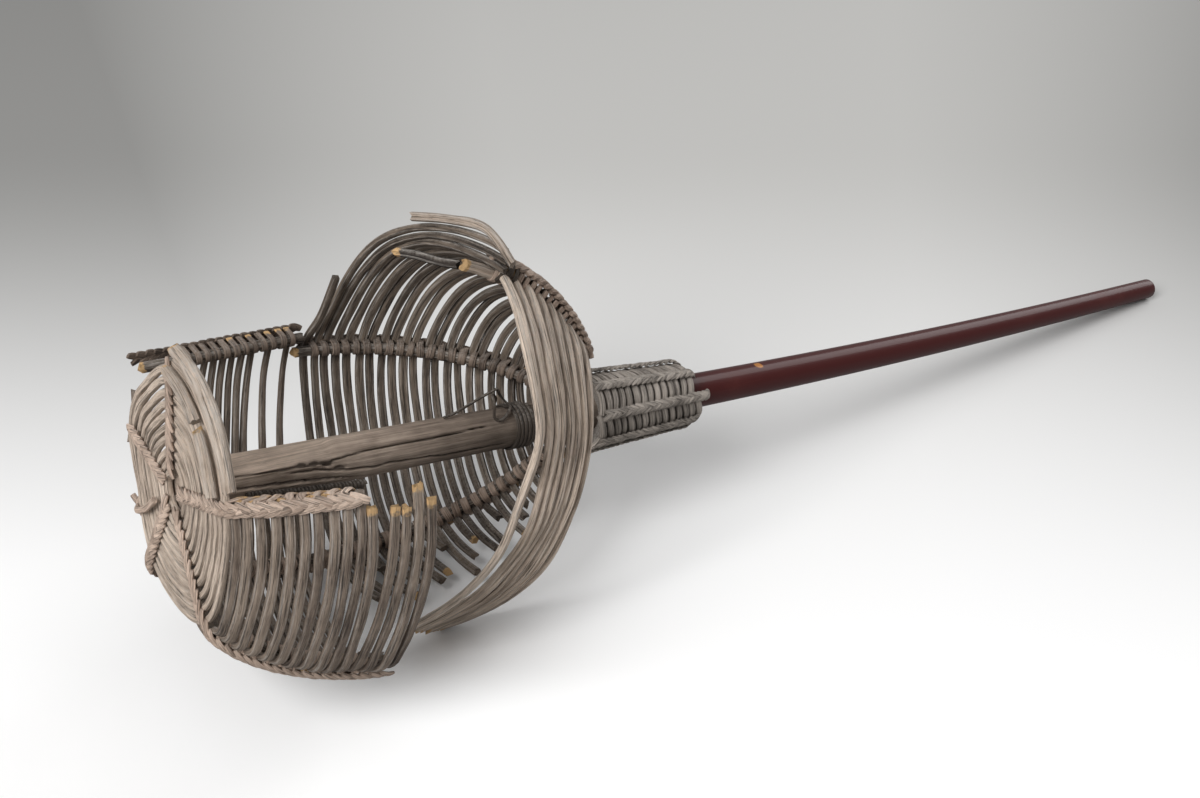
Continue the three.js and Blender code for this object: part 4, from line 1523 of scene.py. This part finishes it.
class RATTLE_OT_bowl_rods(bpy.types.Operator):
    """Build the rods of the bowl, the hanging bundle and the loose rods"""

    bl_idname = "rattle.bowl_rods"
    bl_label = "Bowl rods"

    BUNDLE_WIDENING = 1.4
    BUNDLE_SQUARENESS = 0.65
    BUNDLE_RELAXING = 20
    NARROWING_START = 0.7
    NARROWING_REACH = 50
    BLEACHING_REACH = 12
    BLEACHED_AT_RIB = 0.4
    STAND_OFF = 9
    STAND_OFF_STATIONS = 5
    STUB_LEAN = 8

    # How the end of a stacked rod is tucked under the top rib: angle, place along the stick and radius
    TUCK = (6, 5, 2.5)

    # Loose rods, and the snapped one's places along the stick, radii and angles
    LOOSE_THICKNESS = 1.2
    SNAPPED = ((134, 82, 11), (128, 83, 15), (121, 86, 21), (116, 88, 27))

    def execute(self, context):
        scene = context.scene
        splinter = scene.rattle_cane.splinter / MM
        inner = cane_look(scene, "inner_cane_painted_shade_look")
        for index in range(BOWL_ROD_COUNT):
            section = rod_section(scene, index, BOWL_ROD)
            section.raw = (0.0, 0.9 if index % 4 == 1 else 0.0)
            section.splinter = (splinter * 0.6, splinter)
            place = bundle_place(index)
            stations = bowl_rod_stations(index)
            relax = 0
            if place is not None:
                self.hang(section, stations)
                relax = self.BUNDLE_RELAXING
                if place == BUNDLE_COUNT - 1:
                    self.stand_off(stations)
            elif index == BOWL_ROD_COUNT - 1:
                stations[0] = shifted(stations[0], self.STUB_LEAN)
            elif WRAPPED_ROD_COUNT <= index:
                back, ahead, inwards = self.TUCK
                angle, x, radius, _ = stations[0]
                stations.insert(0, (angle - back, x + ahead, radius - inwards, 0.0))
            path, outward = stray_path(scene, bent_points(stations), 31.0 + index, relax)
            node = numbered("bowl_rod", index)
            add_cane(f"{node}_cane", section, path, outward, inner, "inner_cane", node)

        stations = [loose_station(*LOOSE_START, 0), stack_station(STACKED_ROD_COUNT)[:3] + (0,),
                    loose_station(*LOOSE_END, 0)]
        self.add_loose(scene, "loose_rod_cane", bent_points(stations), 91, 0.65, 0.3, "loose_rod")
        snapped = [polar(*place) for place in self.SNAPPED]
        self.add_loose(scene, "snapped_rod_cane", snapped, 93, 0.0, 1.0)
        return {"FINISHED"}

    def hang(self, section, stations):
        """A bundle rod's section: flat, wide and bleached where it hangs, up to the top rib."""
        hang = running_lengths(bent_points(stations[:len(BUNDLE_NEAR) + 1]))[-1]

        def widening(length):
            past = (length - hang * self.NARROWING_START) / self.NARROWING_REACH
            return lerp(self.BUNDLE_WIDENING, 1.0, clamp(past))

        def bleaching(length):
            return clamp((hang - length) / self.BLEACHING_REACH + self.BLEACHED_AT_RIB)

        section.squareness = self.BUNDLE_SQUARENESS
        section.widening = widening
        section.bleaching = bleaching
        section.raw = (0.9, section.raw[1])

    def stand_off(self, stations):
        """Bends the lower part of a hanging rod away from the others."""
        for i in range(len(BUNDLE_NEAR)):
            away = math.sin(math.pi * min(1.0, i / self.STAND_OFF_STATIONS))
            stations[i] = shifted(stations[i], -self.STAND_OFF * away)

    def add_loose(self, scene, name, points, seed, bleached, raw, *nodes):
        section = rod_section(scene, seed, LOOSE_ROD)
        section.tone = bleached * 3 - 2.5
        section.half_height *= self.LOOSE_THICKNESS
        section.bleaching = lambda length: bleached
        section.raw = (0.0, raw)
        section.splinter = (1.0, 1.6)
        path, outward = stray_path(scene, points, seed, step=2.6)
        add_cane(name, section, path, outward, cane_look(scene, "inner_cane_painted_shade_look"), "outer_cane", *nodes)


class RATTLE_OT_collar(bpy.types.Operator):
    """Build the plaited collar round the stick"""

    bl_idname = "rattle.collar"
    bl_label = "Collar"

    CORE_INSET = 5.0
    CORE_SETBACK = 7.0
    CORE_STEPS = 8
    RIDGE_START = 2
    RIDGE_STEPS = 6
    RIDGE_INSET = 2.2
    RIDGE_LIFT = 1.1
    RIDGE_CLOSING = 3.5
    RIDGE_OVERHANGS = (-3.5, -1.0, 1.5, 0.0, 2.0, -0.5, 3.5, -2.5)
    RUNGS_LOST = (1, 0, 0, 0, 0, 0, 1, 1)
    RUNG_STEPS = 8
    RUNG_INSET = 3.7
    RUNG_BULGE = 0.7
    RUNG_THICKNESS = 1.6
    RUNG_GAP = 0.5
    SLANTS = (2.4, -4.4)

    def radius(self, x):
        return lerp(COLLAR_RADIUS, COLLAR_END_RADIUS, (x - COLLAR_PLANE) / COLLAR_LENGTH)

    def execute(self, context):
        settings = context.scene.rattle_plait
        mesh = new_mesh()
        self.add_core(mesh)
        for ridge in range(COLLAR_RIDGES):
            angle = (ridge + 0.5) * 360 / COLLAR_RIDGES
            self.add_ridge(mesh, settings, ridge, angle)
            self.add_rungs(mesh, settings, ridge, angle)
        material = cane_look(context.scene, "collar_look")
        finish_piece("collar_strips", mesh, material, "plaited_cane", "collar")
        return {"FINISHED"}

    def add_core(self, mesh):
        far = COLLAR_PLANE + COLLAR_LENGTH - self.CORE_SETBACK
        places = [lerp(COLLAR_PLANE, far, i / self.CORE_STEPS) for i in range(self.CORE_STEPS + 1)]
        points = [Vector((x, 0, 0)) for x in places]
        start = points[0].x
        section = Cane(COLLAR_RADIUS, COLLAR_RADIUS, 32, 1.0, tone=-1.0, seed=499, uneven=0.0)
        section.relief = lambda length, turn: (self.radius(start + length) - self.CORE_INSET) / COLLAR_RADIUS
        sweep(mesh, section, points, [Vector((0, 0, 1))] * len(points))

    def add_ridge(self, mesh, settings, ridge, angle):
        """A plaited ridge, whose far end closes on the core."""
        far = COLLAR_PLANE + COLLAR_LENGTH + self.RIDGE_OVERHANGS[ridge] - self.RIDGE_CLOSING
        begin = COLLAR_PLANE - self.RIDGE_START
        places = [lerp(begin, far, i / self.RIDGE_STEPS) for i in range(self.RIDGE_STEPS + 1)]
        pairs = [(x, self.radius(x) - self.RIDGE_INSET) for x in places]
        pairs.append((far + self.RIDGE_CLOSING, self.radius(far) - self.CORE_INSET))
        pitch = settings.ridge_pitch / MM
        reach = settings.ridge_reach / MM
        strip = Cane(1.0, 1.0, squareness=0.9, seed=500 + ridge * 100, uneven=0.3, taper=(0.75, 0.6),
                     taper_reach=1.6)
        line = Meridian(angle, pairs)
        fishbone(mesh, line, strip, lambda _: pitch, lambda _: reach, lambda _: self.RIDGE_LIFT)

    def add_rungs(self, mesh, settings, ridge, angle):
        """Strips side by side from one ridge to the next."""
        span = 360 / COLLAR_RIDGES
        slant = self.SLANTS[ridge % 2]
        pitch = COLLAR_LENGTH / settings.rungs
        rng = random.Random(600 + ridge)
        for rung in range(-1, settings.rungs - self.RUNGS_LOST[ridge]):
            middle = COLLAR_PLANE + (rung + 0.5) * pitch + rng.uniform(-0.4, 0.4)
            lean = slant + rng.uniform(-0.8, 0.8)
            points = []
            for i in range(self.RUNG_STEPS + 1):
                share = i / self.RUNG_STEPS
                x = middle + lean * (share - 0.5)
                bulge = self.RUNG_BULGE * math.sin(math.pi * share)
                points.append(polar(x, self.radius(x) - self.RUNG_INSET + bulge, angle + span * share))
            strip = Cane(pitch / 2 - self.RUNG_GAP, self.RUNG_THICKNESS, squareness=0.95,
                         tone=rng.uniform(-1, 1), seed=700 + ridge * 40 + rung, uneven=0.3)
            sweep(mesh, strip, points, off_stick(points))


class RATTLE_OT_lashing(bpy.types.Operator):
    """Build the bast on the grip with its loose ends, the wound splint and the turns on the top rib"""

    bl_idname = "rattle.lashing"
    bl_label = "Lashing"

    TURN_STEPS = 40
    TURN_WIDTH = 0.66
    TURN_THICKNESS = 0.36
    SLACK = 0.5
    LOOP = ((158, 11.5, 40), (156, 15, 15), (151, 19, 0), (150, 17, 345), (150, 11.8, 328), (154, 11.6, 322),
            (160, 12.5, 345), (161, 12.2, 8), (158, 16, 12), (155, 20, 5))
    STRAND = ((155, 21, 5), (148, 18.5, 5), (140, 15.2, 5), (132, 12.4, 2), (126, 11.4, 0))
    SPLINT = ((26, 10.5, 256), (44, 13.2, 252), (62, 14.4, 250), (80, 15.5, 248))
    SPLINT_RADIUS = 1.5
    SPLINT_PITCH = 1.7
    SPLINT_STEPS = 10
    WINDING_RADIUS = 1.8
    TOP_START = TOP_RIB_OVERHANG + 3.5
    TOP_TURNS = 5
    TOP_PITCH = 1.8
    TOP_STEPS = 24
    TOP_RADIUS = 5.6
    TOP_SINKING = 1.8
    TOP_SLACK = 0.2

    def execute(self, context):
        material = cane_look(context.scene, "bast_look")
        pitch = LASHING_DIAMETER + LASHING_GAP
        points = []
        for i in range(LASHING_TURNS * self.TURN_STEPS + 1):
            turns = i / self.TURN_STEPS
            x = LASHING_START + turns * pitch
            radius = stick_radius(x) + LASHING_DIAMETER / 2
            radius += self.SLACK * wobble(i / 9, 4.0, 0.0)
            points.append(polar(x, radius, turns * 360))
        strip = Cane(LASHING_DIAMETER * self.TURN_WIDTH, LASHING_DIAMETER * self.TURN_THICKNESS, seed=801)
        mesh = new_mesh()
        sweep(mesh, strip, points, off_stick(points))
        strip.half_width = 0.75
        strip.half_height = 0.5
        for track in (self.LOOP, self.STRAND):
            strip.seed += 1
            path = polar_path(track, 1.2)
            sweep(mesh, strip, path, off_stick(path))
        self.add_splint(mesh)
        finish_piece("lashing_bast", mesh, material, "bast", "grip_lashing")
        strip = Cane(1.2, 0.6, seed=831)
        add_cane("top_lashing_bast", strip, *zip(*self.top_turns()), material, "bast")
        return {"FINISHED"}

    def top_turns(self):
        """Turns that tie the ends of the stacked rods to the broken top rib."""
        line = Meridian(TOP_ANGLE, wall_pairs(TOP_PLAIT_START - TOP_RIB_OVERHANG, TOP_PLAIT_START + 20))
        placed = []
        for i in range(self.TOP_TURNS * self.TOP_STEPS + 1):
            turns = i / self.TOP_STEPS
            turn = math.tau * i / self.TOP_STEPS
            distance = self.TOP_START + turns * self.TOP_PITCH + 1.2 * math.sin(turn * 0.7)
            point, _, out = line.frame(distance)
            away = out * math.cos(turn) + line.side * math.sin(turn)
            slack = 1 + self.TOP_SLACK * wobble(i / 7, 2.0, 1.0)
            placed.append((point - out * self.TOP_SINKING + away * (self.TOP_RADIUS * slack), away))
        return placed

    def add_splint(self, mesh):
        """A thin splint along the lower side of the grip, wound with fine bast."""
        path = polar_path(self.SPLINT, self.SPLINT_PITCH / self.SPLINT_STEPS)
        core = path[::2 * self.SPLINT_STEPS]
        out = polar(0, 1, self.SPLINT[1][2])
        sweep(mesh, Cane(self.SPLINT_RADIUS, self.SPLINT_RADIUS, seed=821), core, [out] * len(core))
        placed = []
        for i, (point, along) in enumerate(zip(path, tangents(path))):
            turn = math.tau * i / self.SPLINT_STEPS
            away = out * math.cos(turn) + along.cross(out) * math.sin(turn)
            placed.append((point + away * self.WINDING_RADIUS, away))
        sweep(mesh, Cane(0.7, 0.35, 6, seed=822), *zip(*placed))


class RATTLE_OT_stage(bpy.types.Operator):
    """Set up the floor, the lights and the camera"""

    bl_idname = "rattle.stage"
    bl_label = "Stage"

    FLOOR_SIZE = 30.0
    LIGHT_SIZE = 2.0
    LIGHT_DISTANCE = 3.0
    KEY_FROM = Vector((-0.71, -0.24, 0.66))
    SIDE_FROM = Vector((0.80, 0.10, 0.45))
    SENSOR_WIDTH = 36.0

    def execute(self, context):
        scene = context.scene
        stage = scene.rattle_stage
        target = Vector(stage.target)
        back = Vector((
            math.sin(stage.azimuth) * math.cos(stage.elevation),
            -math.cos(stage.azimuth) * math.cos(stage.elevation),
            math.sin(stage.elevation),
        ))
        eye = target + back * stage.distance
        sight = Vector((-back.x, -back.y, 0.0)).normalized()
        floor = self.add_floor(stage, eye, sight)
        key = self.add_light("key", stage.key_power, self.KEY_FROM, target)
        side = self.add_light("side", stage.side_power, self.SIDE_FROM, target)
        camera = self.add_camera(stage, eye, back)
        scene.camera = camera
        self.add_world(scene, stage)
        scene.view_settings.view_transform = "Standard"
        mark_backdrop(floor, key, side, camera)
        return {"FINISHED"}

    def add_object(self, name, data):
        item = bpy.data.objects.new(name, data)
        bpy.context.collection.objects.link(item)
        return item

    def add_floor(self, stage, eye, sight):
        mesh = bmesh.new()
        bmesh.ops.create_grid(mesh, x_segments=1, y_segments=1, size=self.FLOOR_SIZE / 2)
        data = bpy.data.meshes.new("floor")
        mesh.to_mesh(data)
        mesh.free()
        foot = eye.x * sight.x + eye.y * sight.y
        data.materials.append(floor_material("floor_look", stage, sight, foot))
        return self.add_object("floor", data)

    def add_light(self, name, power, direction, target):
        data = bpy.data.lights.new(name, "AREA")
        data.shape = "DISK"
        data.size = self.LIGHT_SIZE
        data.energy = power
        light = self.add_object(name, data)
        direction = direction.normalized()
        light.location = target + direction * self.LIGHT_DISTANCE
        light.rotation_euler = direction.to_track_quat("Z", "Y").to_euler()
        return light

    def add_camera(self, stage, eye, back):
        data = bpy.data.cameras.new("camera")
        data.lens = stage.lens
        data.sensor_width = self.SENSOR_WIDTH
        camera = self.add_object("camera", data)
        camera.location = eye
        camera.rotation_euler = back.to_track_quat("Z", "Y").to_euler()
        return camera

    def add_world(self, scene, stage):
        world = bpy.data.worlds.new("studio")
        world.use_nodes = True
        background = world.node_tree.nodes["Background"]
        background.inputs["Color"].default_value = (1.0, 1.0, 1.0, 1.0)
        background.inputs["Strength"].default_value = stage.fill
        scene.world = world


class RATTLE_PT_panel(bpy.types.Panel):
    """Sizes, colours and build steps of the rattle"""

    bl_idname = "RATTLE_PT_panel"
    bl_label = "Basket rattle"
    bl_space_type = "VIEW_3D"
    bl_region_type = "UI"
    bl_category = "Rattle"

    def draw(self, context):
        for group in SETTINGS:
            box = self.layout.box()
            box.label(text=group.__doc__)
            holder = getattr(context.scene, SETTINGS[group])
            for name in group.__annotations__:
                box.prop(holder, name)
        for operator in OPERATORS:
            self.layout.operator(operator.bl_idname)


SETTINGS = {
    RattleCaneSettings: "rattle_cane",
    RattlePlaitSettings: "rattle_plait",
    RattleStickSettings: "rattle_stick",
    RattleStageSettings: "rattle_stage",
}
OPERATORS = (
    RATTLE_OT_stick,
    RATTLE_OT_flat_end,
    RATTLE_OT_ribs,
    RATTLE_OT_cage_rods,
    RATTLE_OT_bowl_rods,
    RATTLE_OT_plaits,
    RATTLE_OT_collar,
    RATTLE_OT_lashing,
    RATTLE_OT_stage,
)


def register():
    for group, name in SETTINGS.items():
        bpy.utils.register_class(group)
        setattr(bpy.types.Scene, name, PointerProperty(type=group))
    for operator in OPERATORS:
        bpy.utils.register_class(operator)
    bpy.utils.register_class(RATTLE_PT_panel)


def unregister():
    bpy.utils.unregister_class(RATTLE_PT_panel)
    for operator in reversed(OPERATORS):
        bpy.utils.unregister_class(operator)
    for group, name in reversed(SETTINGS.items()):
        delattr(bpy.types.Scene, name)
        bpy.utils.unregister_class(group)


def main():
    register()
    bpy.ops.rattle.stick()
    bpy.ops.rattle.flat_end()
    bpy.ops.rattle.ribs()
    bpy.ops.rattle.cage_rods()
    bpy.ops.rattle.bowl_rods()
    bpy.ops.rattle.plaits()
    bpy.ops.rattle.collar()
    bpy.ops.rattle.lashing()
    bpy.ops.rattle.stage()
    boxes = {"start": bounds_at_start, "end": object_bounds()}
    {name: [list(corner) for corner in box] for name, box in boxes.items()}


if __name__ == "__main__":
    main()
